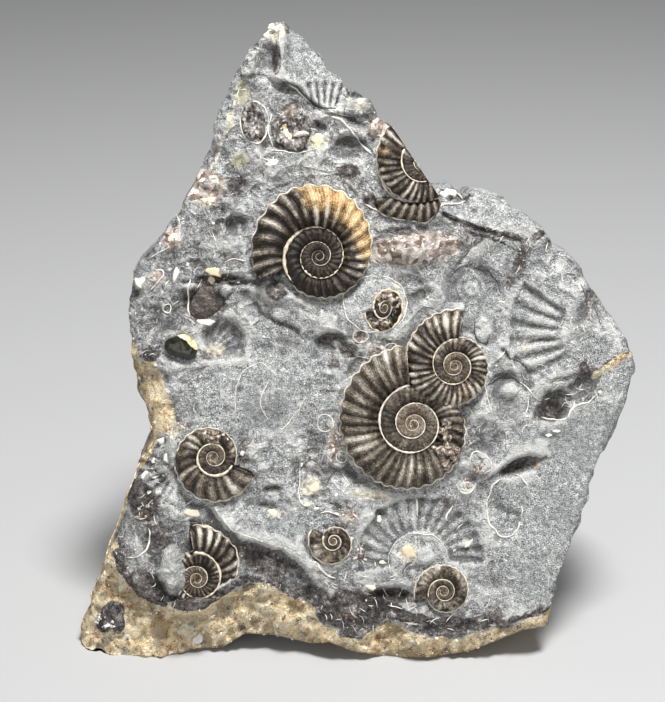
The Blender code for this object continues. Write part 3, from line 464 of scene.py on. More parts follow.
rock = {
    # Outline of the face: its sides from the foot upwards, and its top and foot from left to right.
    "leftEdge": [
        (-56.6, 3.4), (-56.4, 6.8), (-53.7, 15.1), (-51.6, 21.4), (-48.5, 29.7), (-46.9, 34.2), (-45.3, 39.1),
        (-42.9, 44.8), (-40.4, 48.8), (-41.3, 54.5), (-43.5, 61), (-44.4, 65.7), (-45.3, 73.1), (-46, 77),
        (-44.2, 87.1), (-43.3, 88.9), (-39, 93.8), (-35.2, 98.3), (-33, 103.5), (-30.3, 107.8), (-27.1, 114.1),
        (-26.7, 117.9), (-25.1, 125.3), (-22.6, 129.8),
    ],
    "rightEdge": [
        (48.7, 7.9), (49.8, 14.4), (52.1, 21.8), (56.6, 33.5), (57.7, 38.2), (60.2, 44.6), (65.8, 57.1),
        (68.1, 65.5), (67.6, 68.6), (65.6, 71.8), (61.8, 77.9), (58.4, 82.6), (56.1, 86.9), (52.3, 90.7),
        (48.7, 93.2), (46.9, 97), (43.1, 100.1), (41.1, 100.6), (38.6, 103.5), (34.1, 104.2), (31.2, 104.4),
        (30, 103), (28.9, 103), (26.2, 105.5), (23.5, 103.7), (20.8, 108.2), (17.7, 112.3), (13.4, 119.2),
        (10.7, 120.8), (8.7, 125.1), (7.5, 126.2), (3.7, 126.5), (2.1, 130.1),
    ],
    "topEdge": [
        (-22.6, 129.8), (-19.5, 134.1), (-18.3, 137), (-14.5, 141.1), (-12.7, 142.7), (-11.1, 142.7), (-7.8, 140.6),
        (-4.4, 136.8), (-2.4, 134.8), (-1, 132.3), (2.1, 130.1),
    ],
    "footEdge": [
        (-56.6, 3.4), (-54.6, 0.5), (-50.1, 0), (-37, 0), (-30.7, 2), (-24.9, 2.2), (-19.5, 5.4), (-12.9, 5),
        (-4.6, 3.1), (-0.6, 3.4), (4.4, 1.4), (12.9, 0), (21.9, 0), (30.9, 1.4), (35.4, 3.1), (42.6, 6.1), (47.8, 7),
        (48.7, 7.9),
    ],
    "across": 250, "up": 276, "sideRows": 18,  # cells over the face, and rings from its rim to the back
    # Where the crust begins, and how far and how fast the stone falls away below that.
    "crustEdge": [
        (-51.4, 35.3), (-50.1, 28.6), (-49.2, 24.5), (-47.6, 20.5), (-45.3, 16.2), (-41.1, 13.3), (-37.7, 11.9),
        (-34.3, 12.4), (-29.8, 11.5), (-26.4, 12.4), (-24.2, 14), (-21.9, 15.5), (-19.7, 16.4), (-17.4, 17.1),
        (-14.5, 16.7), (-11.8, 15.5), (-9.6, 14), (-6.2, 12.4), (-2.8, 10.1), (-0.6, 7.9), (1.7, 5), (3.9, 3.8),
        (6.6, 3.8), (8.9, 5.6), (10.7, 7.9), (12.5, 8.8), (15, 7), (17.4, 5.6), (21.9, 4.7), (26.4, 5), (29.8, 4.7),
        (34.3, 5.6), (37.7, 6.8), (42.2, 8.3), (46.7, 10.1), (49.2, 11.5), (60.2, 15.1),
    ],
    "crustFall": 5.5, "crustReach": 13,
    # Lumps and hollows: middle, half-widths, turn, height, how square, how much deeper towards the top.
    "lumps": [
        ((-11.6, 137.7), 1.3, 7.5, -5, 1.9, 1.2, 0), ((-14.7, 134.3), 2.9, 3.6, 15, -2.6, 1.8, 0.3),
        ((-18.8, 133), 1.6, 4.5, -28, 1, 1.4, 0), ((-3.3, 118.8), 2, 1.8, 0, -1.4, 2.6, 0.5),
        ((3.9, 114.1), 4, 3.1, 0, -2.1, 2.8, 0.6), ((6.2, 124.2), 2.6, 2.2, 0, 0.9, 1.6, 0),
        ((10, 119.2), 1.8, 2.2, -20, 1, 2, 0), ((-9.6, 120.8), 5, 4.4, 0, -0.8, 1.6, 0.2),
        ((-11.8, 124.7), 2.4, 2, 0, 0.6, 1.8, 0), ((-21.5, 97), 2.5, 2.3, 20, -1.6, 3, 0.7),
        ((-19.7, 91.6), 2.6, 2.6, 0, 0.8, 1.6, 0), ((-24.9, 71.1), 5.2, 4.8, 0, -2, 2.8, 0.3),
        ((-37.2, 74.7), 4, 7.5, 0, -1, 1.4, 0.2), ((-36.1, 93.8), 3.6, 3, 0, 1, 1.6, 0),
        ((-0.3, 70.9), 3.3, 2, 0, -1.8, 2.8, 0.6), ((9.3, 79.2), 7.2, 6.4, 0, 0.9, 3, 0),
        ((19, 92.2), 9.5, 3.2, 5, 0.9, 1.4, 0), ((31.2, 82.8), 6.6, 6.2, 0, -1, 3.6, 0.6),
        ((31.2, 83), 1.8, 1.8, 0, 0.5, 1.6, 0), ((37, 90.2), 5.4, 3.6, -40, 0.5, 2.6, 0),
        ((33.9, 73.4), 2.1, 2.9, 0, 0.9, 2.6, 0), ((36.8, 69.1), 2.2, 2.3, 0, 0.6, 3.4, 0),
        ((40.2, 58.5), 4.9, 4.7, 0, -1.2, 3.2, 0.5), ((39.7, 60.3), 1.9, 1.9, 0, 1.5, 1.8, 0),
        ((38.8, 62.8), 3.2, 1.4, 15, -0.9, 1.6, 0.4), ((44.2, 61.4), 1.7, 1.8, 0, -0.8, 2, 0),
        ((50.3, 57.1), 3.4, 3, 15, -1.7, 2.6, 0.3), ((55.7, 60.5), 4.4, 2.4, 25, -1.1, 1.8, 0.2),
        ((42.2, 42.8), 4.4, 1.9, 22, -2.2, 2.2, 0.5), ((39.3, 34), 4.2, 7, -5, -0.7, 3, 0.2),
        ((13.2, 14), 4.6, 1.6, 0, -2, 1.8, 0.5), ((21, 22.9), 1.8, 1.8, 0, 0.9, 2.2, 0),
        ((21.9, 21.2), 1.5, 1.5, 0, 0.7, 2.2, 0), ((18.1, 18.9), 2.1, 2.1, 0, -0.9, 2.2, 0),
        ((18.1, 18.9), 1, 1, 0, 0.8, 2, 0), ((17, 15.8), 1.4, 1.4, 0, 0.8, 1.8, 0),
        ((-41.1, 40.1), 4.2, 8.5, 20, -1.2, 1.6, 0.2), ((-39.9, 25), 5, 5, 0, 0.8, 1.4, 0),
        ((-4.8, 42.1), 2.6, 3.2, 0, 0.9, 2.8, 0), ((-4.8, 38.5), 2.2, 2.6, -20, 0.6, 2.6, 0),
        ((1.7, 37.8), 2.6, 3.4, 0, 0.8, 2.8, 0), ((-6.4, 35.8), 1.7, 2, -20, 0.5, 2.6, 0),
        ((33.2, 43.6), 2.7, 2.6, 0, 0.8, 2.8, 0), ((30, 38.2), 2.2, 1.8, 0, 0.7, 2.8, 0),
        ((57.5, 79.7), 1.8, 4.8, -30, -0.9, 1.4, 0), ((62.9, 66.2), 5.2, 0.9, 30, 0.7, 1.4, 0),
        ((-48.9, 7), 5, 3.6, 0, 1, 1.4, 0), ((-8, 9), 7, 3, -8, 0.9, 1.4, 0), ((24, 3.6), 7, 2, 0, 0.8, 1.4, 0),
        ((25.8, 104.4), 2.2, 1.4, 0, 0.9, 2.2, 0), ((26.2, 103.3), 0.8, 0.6, 0, -0.8, 1.8, 0),
        ((15.2, 95.4), 4.6, 1.5, 5, -0.9, 1.8, 0.5), ((-24.9, 84.6), 7, 1.4, 0, -1.3, 1.8, 0.7),
        ((-28.7, 79.7), 5.2, 4.4, 0, -0.8, 2.4, 0.3), ((-15.4, 61.6), 7.6, 7, 0, 0.7, 2.4, 0),
        ((-13.6, 37.8), 2.2, 0.8, 0, -0.9, 1.8, 0.5), ((-15.2, 34.2), 2.2, 0.6, -10, -0.7, 1.8, 0.5),
        ((10.5, 31.7), 1.2, 1.8, 0, -0.9, 1.8, 0.3), ((-1.7, 52.6), 2.2, 2.2, 0, 0.4, 2.8, 0),
        ((1.5, 45), 2, 2, 0, 0.5, 2.8, 0), ((8.9, 37.6), 5.4, 1.3, -6, 0.7, 1.8, 0),
        ((-19.7, 80.3), 3, 2.4, 20, -0.7, 1.8, 0.5), ((-12.9, 82.1), 3.6, 2.4, -20, 1.1, 1.8, 0),
        ((46.7, 102.8), 4, 2.6, -20, 0.6, 1.8, 0), ((-26.4, 92.7), 3, 2, 30, 0.6, 1.8, 0),
        ((-30.7, 97.9), 2.6, 1.8, 30, -0.6, 1.6, 0.3), ((19.7, 80.3), 3.2, 2.2, 30, -0.7, 1.8, 0.5),
        ((48.5, 49.7), 2.2, 0.7, -6, -0.6, 1.8, 0.3), ((-19.7, 48.8), 2.4, 3.6, -30, -0.6, 1.8, 0.3),
        ((64.7, 73.6), 3.4, 5, -20, 0.5, 1.6, 0),
    ],
    # Steps: the line of each, walked with the higher side on the left, then its height and its reach.
    "steps": [
        ([(-10.7, 129.4), (-8.9, 128.7), (-7.3, 127.6), (-6.2, 126.2), (-4.8, 124.7), (-2.8, 123.5), (-1, 123.1),
          (2.8, 122.4), (4.4, 121.5)], 1.2, 9),
        ([(-32.1, 84.6), (-29.1, 84.2), (-24.9, 84.6), (-20.8, 84.4), (-17.4, 85)], 1.1, 6),
        ([(-28, 34), (-26.9, 32.6), (-24.4, 29), (-21, 27), (-16.3, 25.4), (-11.6, 24.1), (-8, 21.6),
          (-6.4, 19.6)], 2, 9), ([(36.3, 41.2), (38.8, 43), (41.3, 44.6), (43.8, 45.2), (46.7, 45.2)], 1.1, 5),
        ([(46.9, 54.5), (49.6, 53.3), (52.5, 53.6), (53.7, 55.6), (55.7, 57.1), (57.9, 57.6)], -0.7, 5),
        ([(33.9, 94), (30.7, 91.8), (28.9, 88.9)], 0.9, 7),
        ([(24.9, 99.9), (28.2, 98.3), (33.2, 96.5), (37.7, 95), (42.6, 94), (46.9, 95.2)], 0.4, 6),
        ([(-7.5, 73.4), (-10.9, 75.2), (-12.9, 75.8), (-15.4, 77), (-17.2, 79.7)], -0.6, 5),
        ([(-19.7, 131), (-15.9, 131.2), (-12.9, 129.8)], 0.7, 4),
        ([(-45.6, 45.5), (-41.5, 43.9), (-37.7, 39.8)], 0.7, 4),
        ([(-46, 39.8), (-41.1, 37.6), (-36.1, 35.3)], 0.7, 4),
        ([(-15.9, 42.1), (-11.8, 43.9), (-7.3, 45.5)], 0.5, 5),
        ([(-41.1, 65.7), (-36.6, 64.1), (-32.1, 65), (-26.4, 65.9), (-20.8, 65.5)], 0.6, 5),
        ([(2.8, 107.8), (6.2, 103.7), (10.2, 101.5)], 0.6, 4),
        ([(-31.6, 109.1), (-29.1, 106), (-24.9, 105.1)], 0.5, 4),
        ([(-33.6, 88.9), (-29.8, 90.2), (-26.2, 88.9)], 0.6, 4),
        ([(11.6, 71.8), (14.1, 70.9), (15.6, 68.4)], 0.5, 4), ([(38.4, 69.3), (40.4, 66.8), (44, 65.2)], 0.6, 4),
        ([(54.8, 84.4), (57.9, 80.3), (60.2, 74.5)], -0.5, 4), ([(21.9, 59), (24.2, 56.9), (26.9, 55.6)], 0.3, 3),
    ],
    # Narrow cracks: line, depth, and half-thickness of the dark line drawn in it.
    "cracks": [
        ([(-17.2, 79.7), (-15.4, 77), (-12.9, 75.8), (-10.9, 75.2), (-7.5, 73.4)], 0.7, 0.17),
        ([(38.4, 69.3), (39.9, 67), (42, 66.8), (43.8, 65.2)], 0.7, 0.2),
        ([(-2.8, 71.8), (0.1, 69.8), (4.4, 67.7)], 0.4, 0), ([(-1.5, 35.1), (0.8, 34.4), (2.1, 32.6)], 0.5, 0.16),
        ([(37.5, 33.8), (39.7, 32.6), (41.7, 32.4)], 0.5, 0.16),
        ([(19, 31.9), (21.9, 31.3), (24.6, 30.2), (26, 28.8)], 0.35, 0),
        ([(-10.7, 129.4), (-8.9, 128.7), (-7.3, 127.6), (-6.2, 126.2), (-4.8, 124.7), (-2.8, 123.5)], 0.8, 0),
        ([(24.9, 99.9), (28.2, 98.3), (31.8, 97), (35.9, 95.6), (39.9, 94.7)], 0.4, 0),
        ([(28.9, 88.9), (30.7, 91.8), (33.9, 94)], 0.4, 0), ([(49.4, 61.9), (53.9, 63), (56.4, 64.4)], 0.5, 0),
        ([(7.5, 63.2), (8.9, 61.4), (10.7, 60.5)], 0.3, 0.12), ([(40.4, 65.7), (46.7, 63.5), (49.4, 64.1)], 0.3, 0),
    ],
    # Stone that lies over the edge of a shell, written as the lumps are.
    "covers": [
        ((-35.9, 19.1), 3, 5.2, 0, 2.9, 2.2, 0), ((-31.2, 11.5), 5.6, 1.9, 4, 2.7, 2.2, 0),
        ((-23.1, 15.5), 3.2, 1.9, 24, 2.2, 2.2, 0), ((-36.1, 46.1), 1.4, 3.4, 0, 1.8, 2, 0),
        ((-31.8, 82.8), 2, 1.6, 0, 1.7, 2, 0), ((-24.9, 82.6), 2, 1.8, 20, 1.7, 2, 0),
    ],
    # Moulds of ribbed shells: hub, inner and outer radius, first and last angle, ribs, their height, sink.
    "moulds": [
        ((19.7, 21.8), 6.5, 14.2, -2, 190, 15, 0.25, 0.9), ((60.6, 73.1), 9.2, 20.8, 147, 218, 6, 0.42, 0.7),
        ((-28.5, 67.7), 3, 9, 10, 95, 6, 0.3, 0), ((-1.7, 115.9), 7.4, 13.8, 70, 112, 5, 0.34, 0.4),
        ((-34.8, 43), 3, 9.5, 150, 250, 6, 0.35, 0.2),
    ],
    # Low rings: middle, radius, height.
    "rings": [
        ((19.7, 21.8), 6.5, 0.3), ((-12.3, 124.9), 1.8, 0.4), ((13.2, 68.6), 2, 0.3), ((6.4, 72.2), 1.6, 0.35),
        ((31.2, 83), 1.2, 0.25), ((31.2, 83), 2.8, 0.3), ((-4.8, 108.7), 1.4, 0.25), ((-25.3, 101.7), 3, 0.3),
        ((21, 22.9), 1.8, 0.25), ((18.1, 18.9), 2, 0.3), ((-1.7, 52.6), 2.3, 0.3), ((1.5, 45), 2.1, 0.3),
    ],
    # Smooth parts of the face, where the stone broke evenly: middle, half-widths, turn, how smooth.
    "smooth": [
        ((-4.6, 133), 6.6, 9.4, 55, 1), ((52.5, 35.3), 14, 27, -12, 0.9), ((-16.8, 60.1), 13, 9, 0, 0.6),
        ((9.3, 79), 7, 6, 0, 0.8), ((31.2, 83), 6, 6, 0, 0.8), ((21.9, 73.6), 8, 4, 0, 0.4),
        ((65.1, 73.6), 7, 16, -20, 0.7), ((-10.7, 29.7), 8, 5, -20, 0.5), ((36.6, 88.9), 6, 4, -40, 0.7),
        ((37.7, 101.7), 12, 5, -12, 0.6), ((45.1, 72.5), 8, 10, 0, 0.7), ((-7.3, 77), 9, 3, 0, 0.4),
        ((19.7, 21.8), 14, 14, 0, 0.6), ((-24.2, 71.3), 4.6, 4.4, 0, 0.6), ((40.4, 58.3), 4.4, 4.4, 0, 0.6),
    ],
    # Stains, patches and some painted shade by their paint: middle, half-widths, turn, strength.
    "stainsAndShade": {
        # Dark ovals in hollows and under ledges, as at (3.7, 109.4), (8.4, 102.8) and (-24.9, 85), are painted shade.
        "dark": [
            ((-12.7, 134.3), 1, 3, -4, 0.8), ((-10.2, 140.8), 0.9, 0.7, 0, 0.6), ((-17.7, 137), 0.9, 3.4, -20, 0.5),
            ((-21.7, 106.4), 2, 2.6, -30, 0.7), ((-24.9, 101.5), 2.6, 1.8, 0, 0.55), ((-9.6, 115), 4.2, 1, -6, 0.9),
            ((-7.3, 121.3), 2, 1.6, 0, 0.5), ((-3.7, 119.9), 1, 1, 0, 0.7), ((-42.9, 35.3), 3, 5, 20, 0.95),
            ((-39.9, 27.4), 3.4, 3.4, 0, 0.75), ((-41.7, 16.2), 4.6, 2.6, -34, 1), ((-30.3, 13.1), 3.6, 1.8, 0, 0.9),
            ((-49.4, 10.3), 2.8, 2.5, 20, 0.86), ((-48.5, 7.9), 2, 2.8, 10, 0.84), ((-51.2, 7.9), 2.4, 2.6, 0, 0.8),
            ((-37.9, 74.7), 3.2, 6, 0, 0.4), ((-24.9, 85), 7.5, 1.2, 0, 0.7), ((-28.7, 79.9), 4.6, 3.8, 0, 0.9),
            ((-21.7, 72.7), 1, 2.6, 40, 0.55), ((-1, 72.2), 2.4, 0.9, 0, 0.6), ((3.9, 116.5), 3.4, 1, 0, 0.5),
            ((8.4, 102.8), 1.6, 2, 20, 0.9), ((15.2, 95.9), 5, 1.3, 5, 0.55), ((40.8, 43), 2.8, 1, 24, 1),
            ((48.9, 55.4), 3.4, 2.4, 15, 0.85), ((54.3, 61.4), 3.4, 1.2, 25, 0.5), ((13.4, 13.7), 4.6, 1.5, 0, 1),
            ((-15.9, 21.8), 8.5, 2.4, -20, 0.75), ((3.9, 10.6), 7.5, 4, 6, 0.95), ((-3.3, 13.3), 5, 2.2, -30, 0.8),
            ((36.6, 9.5), 1.8, 2.2, 0, 0.8), ((41.7, 88.2), 1.6, 6, -24, 0.6), ((-19.9, 45.5), 2.4, 3, 30, 0.55),
            ((-0.6, 59.6), 3.4, 2.2, -30, 0.35), ((-13.6, 38), 1.8, 0.5, 0, 0.8), ((-15.2, 34.2), 2, 0.4, -10, 0.7),
            ((-4.6, 42.8), 2.4, 2.4, -20, 0.62), ((33.6, 71.5), 1.4, 1, 0, 0.5), ((-6.2, 78.1), 4, 0.8, -20, 0.4),
            ((10.2, 32.4), 0.8, 0.8, 0, 0.7), ((-3.3, 27.4), 1.6, 0.8, 0, 0.6), ((0.6, 29.5), 3, 0.8, 0, 0.7),
            ((32.1, 100.6), 0.9, 0.5, 0, 0.5), ((26.4, 103.3), 0.8, 0.6, 0, 0.8), ((-33, 12.8), 2, 1.6, 0, 0.7),
            ((-32.1, 11.9), 4.6, 1.6, 0, 0.9), ((3.7, 109.4), 3, 1.7, -6, 0.85), ((3.9, 69.3), 2.6, 1.6, -30, 0.9),
            ((0.3, 66.2), 1.6, 1.4, 0, 0.6), ((6.4, 73.1), 1.2, 2.6, 10, 0.5), ((-41.1, 68.2), 2.4, 1.8, 0, 0.8),
            ((-12.5, 82.4), 2.4, 2, -30, 0.8), ((-15.4, 116.1), 1.4, 1.6, 0, 0.8), ((-28.5, 67.5), 1.6, 1.2, 0, 0.6),
            ((-19.9, 67.7), 1.4, 2.2, 30, 0.6), ((-21.3, 61.2), 1.8, 1.8, 0, 0.5),
            ((25.8, 35.3), 2.4, 1.2, -20, 0.6),
        ],
        "warm": [
            ((-28.5, 105.5), 3.8, 3.6, 20, 1), ((-9.6, 123.1), 1.6, 1.4, 0, 0.8), ((10, 119.2), 1.8, 2.2, 0, 1),
            ((18.6, 92), 9.4, 3.2, 6, 1), ((0.1, 47.7), 1.3, 3.6, 0, 0.9), ((6.4, 72.2), 1.4, 1.4, 0, 1),
            ((3.5, 10.1), 2.6, 3.4, 0, 0.7), ((-12.9, 9.5), 2.6, 1.4, 0, 0.9), ((3.5, 31.3), 1.8, 1.6, 0, 0.8),
            ((-36.1, 94.3), 1.8, 2.4, 10, 1), ((-39.5, 85.5), 1.6, 1.6, 0, 0.8), ((-42.6, 32.4), 1.6, 2, 20, 0.9),
            ((9.6, 69.5), 2.4, 1.6, 0, 0.6), ((45.8, 43.2), 0.8, 0.8, 0, 0.9), ((11.1, 10.1), 1, 2.6, 30, 0.8),
            ((57.9, 79.7), 0.7, 1, 0, 0.8), ((13.2, 101.5), 1.8, 1.2, -20, 0.8),
        ],
        "yellow": [
            ((-20.4, 127.1), 1.6, 2.6, 0, 0.9), ((-21, 111.8), 2.4, 1.6, 30, 0.8), ((-3.5, 115.9), 2, 1.4, 0, 0.8),
            ((-23.1, 120.4), 0.9, 2.6, 0, 0.6),
        ],
        "pale": [
            ((-12.9, 140.8), 2, 1.9, 40, 1), ((-26.7, 69.1), 2.6, 1.3, 10, 0.9), ((-4.8, 38.5), 2, 2.2, -30, 0.8),
            ((-5.7, 34.6), 1.2, 0.7, 0, 0.8), ((8.7, 36.5), 5.2, 1.1, -6, 0.75), ((-29.4, 107.5), 1.2, 0.7, 20, 1),
            ((17, 23.4), 2.2, 2.4, -30, 0.7), ((-12.9, 32.4), 1.6, 1.1, 20, 0.8), ((-13.6, 36.9), 1.4, 0.6, 0, 0.6),
            ((-35.9, 51.3), 2.2, 2.2, 0, 0.75), ((6.6, 124.2), 2, 1.8, 0, 0.6), ((-7.3, 117.7), 2.4, 1.4, 0, 0.6),
            ((-43.3, 83.9), 1.4, 1.6, 0, 0.8), ((-30.3, 4.3), 2, 1.8, 0, 0.9), ((-36.6, 1.4), 1.8, 1, 0, 0.9),
            ((-49.6, 6.5), 1.8, 1, 20, 0.8), ((43.3, 69.3), 1.6, 0.7, 10, 0.7), ((48.5, 70), 1.6, 0.5, 24, 0.6),
            ((44.4, 71.3), 2.4, 0.5, 12, 0.6), ((30.9, 25.2), 1.6, 2.2, 40, 0.5), ((3.9, 125.3), 1, 0.8, 0, 0.6),
            ((17.9, 88.4), 5.4, 1, 4, 0.6),
        ],
        "crust": [],
        "crumbly": [
            ((-26.4, 101.7), 5, 4, -40, 0.9), ((-30.9, 90.5), 7, 5, 30, 0.9), ((-39.9, 80.3), 5, 7, 0, 1),
            ((-41.1, 71.3), 4, 4, 0, 0.9), ((-34.3, 75.8), 4, 5, 0, 0.9), ((-21.3, 108.5), 3, 5, -20, 0.8),
            ((-18.6, 126.5), 3, 5, 0, 0.6), ((-9.6, 125.3), 4, 3, 0, 0.7), ((-9.6, 119.7), 5, 5, 0, 0.8),
            ((6.2, 122.6), 4, 4, -30, 0.7), ((-24.2, 88.9), 5, 3, 0, 0.8), ((-38.8, 44.3), 4, 5, -10, 0.9),
            ((-43.3, 33.1), 4, 8, 20, 1), ((-37.7, 22.9), 7, 6, 0, 0.9), ((-30.9, 30.8), 4, 3, 0, 0.5),
            ((-0.6, 48.8), 2.6, 6, 0, 0.8), ((2.8, 33.1), 4, 3, 0, 0.7), ((30.9, 51.1), 2.6, 8, 10, 0.8),
            ((37.7, 52.2), 5, 3, 20, 0.7), ((14.1, 16.2), 5, 3, 0, 0.7), ((30.9, 95), 8, 2.2, -14, 0.8),
            ((18.6, 91.6), 11, 4, 5, 0.8), ((41.7, 88.9), 2.4, 7, -24, 0.9), ((52.3, 59), 7, 4, 20, 1),
            ((58.6, 79.2), 3, 6, -28, 0.7), ((-19.7, 45.5), 3, 4, 30, 0.8), ((-18.6, 110.7), 5, 2.4, 0, 0.7),
            ((10.7, 70.2), 4, 3, 0, 0.7), ((2.8, 11.7), 12, 6, 6, 0.9), ((24.2, 7.9), 12, 3, 0, 0.9),
            ((12.9, 101), 3, 2.4, 0, 0.7), ((-34.3, 54.5), 3.4, 4, 20, 0.8), ((5.1, 24.1), 2.6, 5, 0, 0.8),
            ((-10.7, 111.8), 8, 2, 0, 0.5), ((27.6, 42.1), 3, 3, 0, 0.5), ((39.9, 64.6), 4, 3, 0, 0.5),
            ((-15.9, 70.2), 2, 2, 0, 0.4), ((46.7, 92.7), 2, 2, 0, 0.8), ((-34.8, 18.4), 4, 6, 0, 1),
        ],
    },
    # Veins and bands by their paint: line, half-width, strength.
    "veins": {
        "dark": [
            ([(24.9, 99.9), (28.2, 98.3), (31.8, 97), (35.9, 95.6), (39.9, 94.7), (42.6, 94)], 0.75, 0.8),
            ([(30, 95.9), (34.1, 94.7), (38.8, 92.9)], 0.35, 0.9), ([(45.6, 94.5), (47.4, 95.6)], 0.7, 1),
            ([(56.4, 65.7), (57.5, 63.7), (55.2, 62.3)], 1.1, 0.9),
            ([(39.7, 8.1), (44.7, 9.2), (48.9, 11.2)], 0.4, 0.9),
            ([(7.5, 12.8), (11.8, 11.5), (16.1, 9.5), (21.5, 7.2), (28, 7.4), (34.5, 7.9), (36.3, 10.1)], 1.3, 1),
            ([(1.7, 5.6), (6.2, 4.7), (10.7, 8.8)], 1.1, 0.7),
            ([(-48.7, 23.6), (-46.9, 19.1), (-43.3, 14.6), (-37.7, 12.4)], 1, 0.9),
            ([(-28, 12.8), (-24, 15.1), (-18.6, 17.8), (-12.9, 16.9), (-8.2, 13.7)], 0.9, 0.8),
            ([(64.2, 67.7), (61.1, 65.9), (58.4, 64.4)], 0.22, 0.8),
        ],
        "crust": [
            ([(67.6, 68.6), (64.7, 67), (61.1, 64.8), (58.6, 63.2)], 0.7, 1),
            ([(-45.3, 70.4), (-43.8, 65.7), (-42, 59), (-40.4, 53.3), (-40.2, 48.6), (-41.3, 46.4), (-44.4, 42.1),
              (-46, 37.1), (-47.6, 31.9), (-49.4, 28.4), (-51.4, 22.5)], 0.7, 1),
            ([(-42.2, 65), (-40.2, 60.5), (-38.6, 56.7), (-38.1, 52.2)], 2.2, 1),
            ([(-50.5, 25.2), (-51.4, 19.6), (-52.8, 12.8)], 2, 1),
        ],
        "pale": [
            ([(-21.7, 125.3), (-23.3, 119.7), (-26.2, 111.8), (-30.7, 105.1)], 0.4, 0.6),
        ],
    },
}


def lumpHeight(u, v, middle, halfU, halfV, turn, height, square, deeper):
    # Height times e to the minus (distance squared, in half-widths) to a power: the higher the power, the squarer.
    a, b = fromMiddle(u, v, middle, turn)
    a, b = a / halfU, b / halfV
    return height * np.exp(-((a * a + b * b) ** square)) * (1 + deeper * np.clip(b, -1, 1))


def stepHeight(u, v, line, height, reach):
    # A rise over the line that sinks away behind it: height times an S-curve of the distance, over the reach.
    side, past = besideLine(u, v, line)
    side = side + 0.35 * layeredNoise(flat(u, v), 2.2, 2, 5)
    return height * ease(side / 0.4) * np.exp(-np.maximum(side, 0) / reach) * np.exp(-((past / 3) ** 2))


def mouldHeight(u, v, hub, inner, outer, first, last, ribs, height, sink):
    # A sunk part of a ring with ribs running outwards: a cosine of the angle, its valleys narrower than its ribs.
    r = np.hypot(u - hub[0], v - hub[1])
    turn = (np.degrees(np.arctan2(v - hub[1], u - hub[0])) - first) % 360 / (last - first)
    inside = ease((r - inner) * 1.5) * ease((outer - r) * 1.5) * (turn < 1)
    wave = np.cos(fullTurn * ribs * (turn + 0.004 * (r - inner)))
    return inside * (height * (1 - 2 * (0.5 - 0.5 * wave) ** 1.7) * ease((r - inner) / 2 - 0.4) - sink)


def crackHeight(u, v, line, depth, _):
    # A groove along a line: minus its depth, times e to the minus (distance squared).
    side, past = besideLine(u, v, line)
    side = side + 0.25 * layeredNoise(flat(u, v), 2.0, 2, 15)
    return -depth * np.exp(-((side / 0.42) ** 2) - (past / 0.8) ** 2)


def ringHeight(u, v, middle, radius, height):
    # A low round ridge: e to the minus (distance from the circle) squared.
    return height * np.exp(-(((np.hypot(u - middle[0], v - middle[1]) - radius) / 0.32) ** 2))


def belowCrustEdge(u, v):
    # Distance below the line where the crust begins.
    return -besideLine(u, v, rock["crustEdge"])[0]


def broadRelief(u, v):
    # Slow waves, lumps, steps, moulds and the fall to the crust: the stone as the solids have it.
    w = 0.5 * np.sin(u / 9 + 1) * np.sin(v / 11)
    w = w + 0.3 * np.sin(u / 4.1 + v / 6.3) * np.sin(v / 5.2 - u / 7.7 + 2)
    addEach(w, u, v, rock["lumps"], lambda row: 2.2 * max(row[1:3]), lumpHeight)
    addEach(w, u, v, rock["steps"], lambda row: 3 * row[2], stepHeight)
    addEach(w, u, v, rock["moulds"], lambda row: row[2] + 2, mouldHeight)
    below = np.maximum(belowCrustEdge(u, v), 0)
    return w - rock["crustFall"] * (1 - np.exp(-below / rock["crustReach"] * 2))


def rimDistance(u, v):
    # Distance from the left edge, and from the nearest of the left, right and top edges.
    left = np.abs(besideLine(u, v, rock["leftEdge"])[0])
    right = np.abs(besideLine(u, v, rock["rightEdge"] + rock["topEdge"][-2::-1])[0])
    return left, np.minimum(left, right)


def levelUnder(middle, reach):
    # The mean of the broad relief on a ring of this radius round a middle.
    u, v = spun(reach, 0, ringAngles(24))
    return float(broadRelief(u + middle[0], v + middle[1]).mean())


for shape in ammonites.values():
    shape.update({**usual, **shape})
    shape["level"] = levelUnder(shape["middle"], shape["radii"][0][1] * 0.8)
for shape in shards.values():
    shape.update({**usualShard, **shape})
    shape["level"] = levelUnder(shape["middle"], max(shape["half"]))


def ovals(u, v, rows, reach=1.15, sharp=1.1):
    # The highest of soft ovals: each an S-curve of the distance from its middle in half-widths.
    paint = np.zeros_like(u)
    for middle, halfU, halfV, turn, strength in rows:
        a, b = fromMiddle(u, v, middle, turn)
        paint = np.maximum(paint, strength * ease((reach - np.hypot(a / halfU, b / halfV)) * sharp))
    return paint


def smoothness(u, v):
    # How evenly the stone broke, from 0 to 1.
    return ovals(u, v, rock["smooth"], 1.2, 1.0)


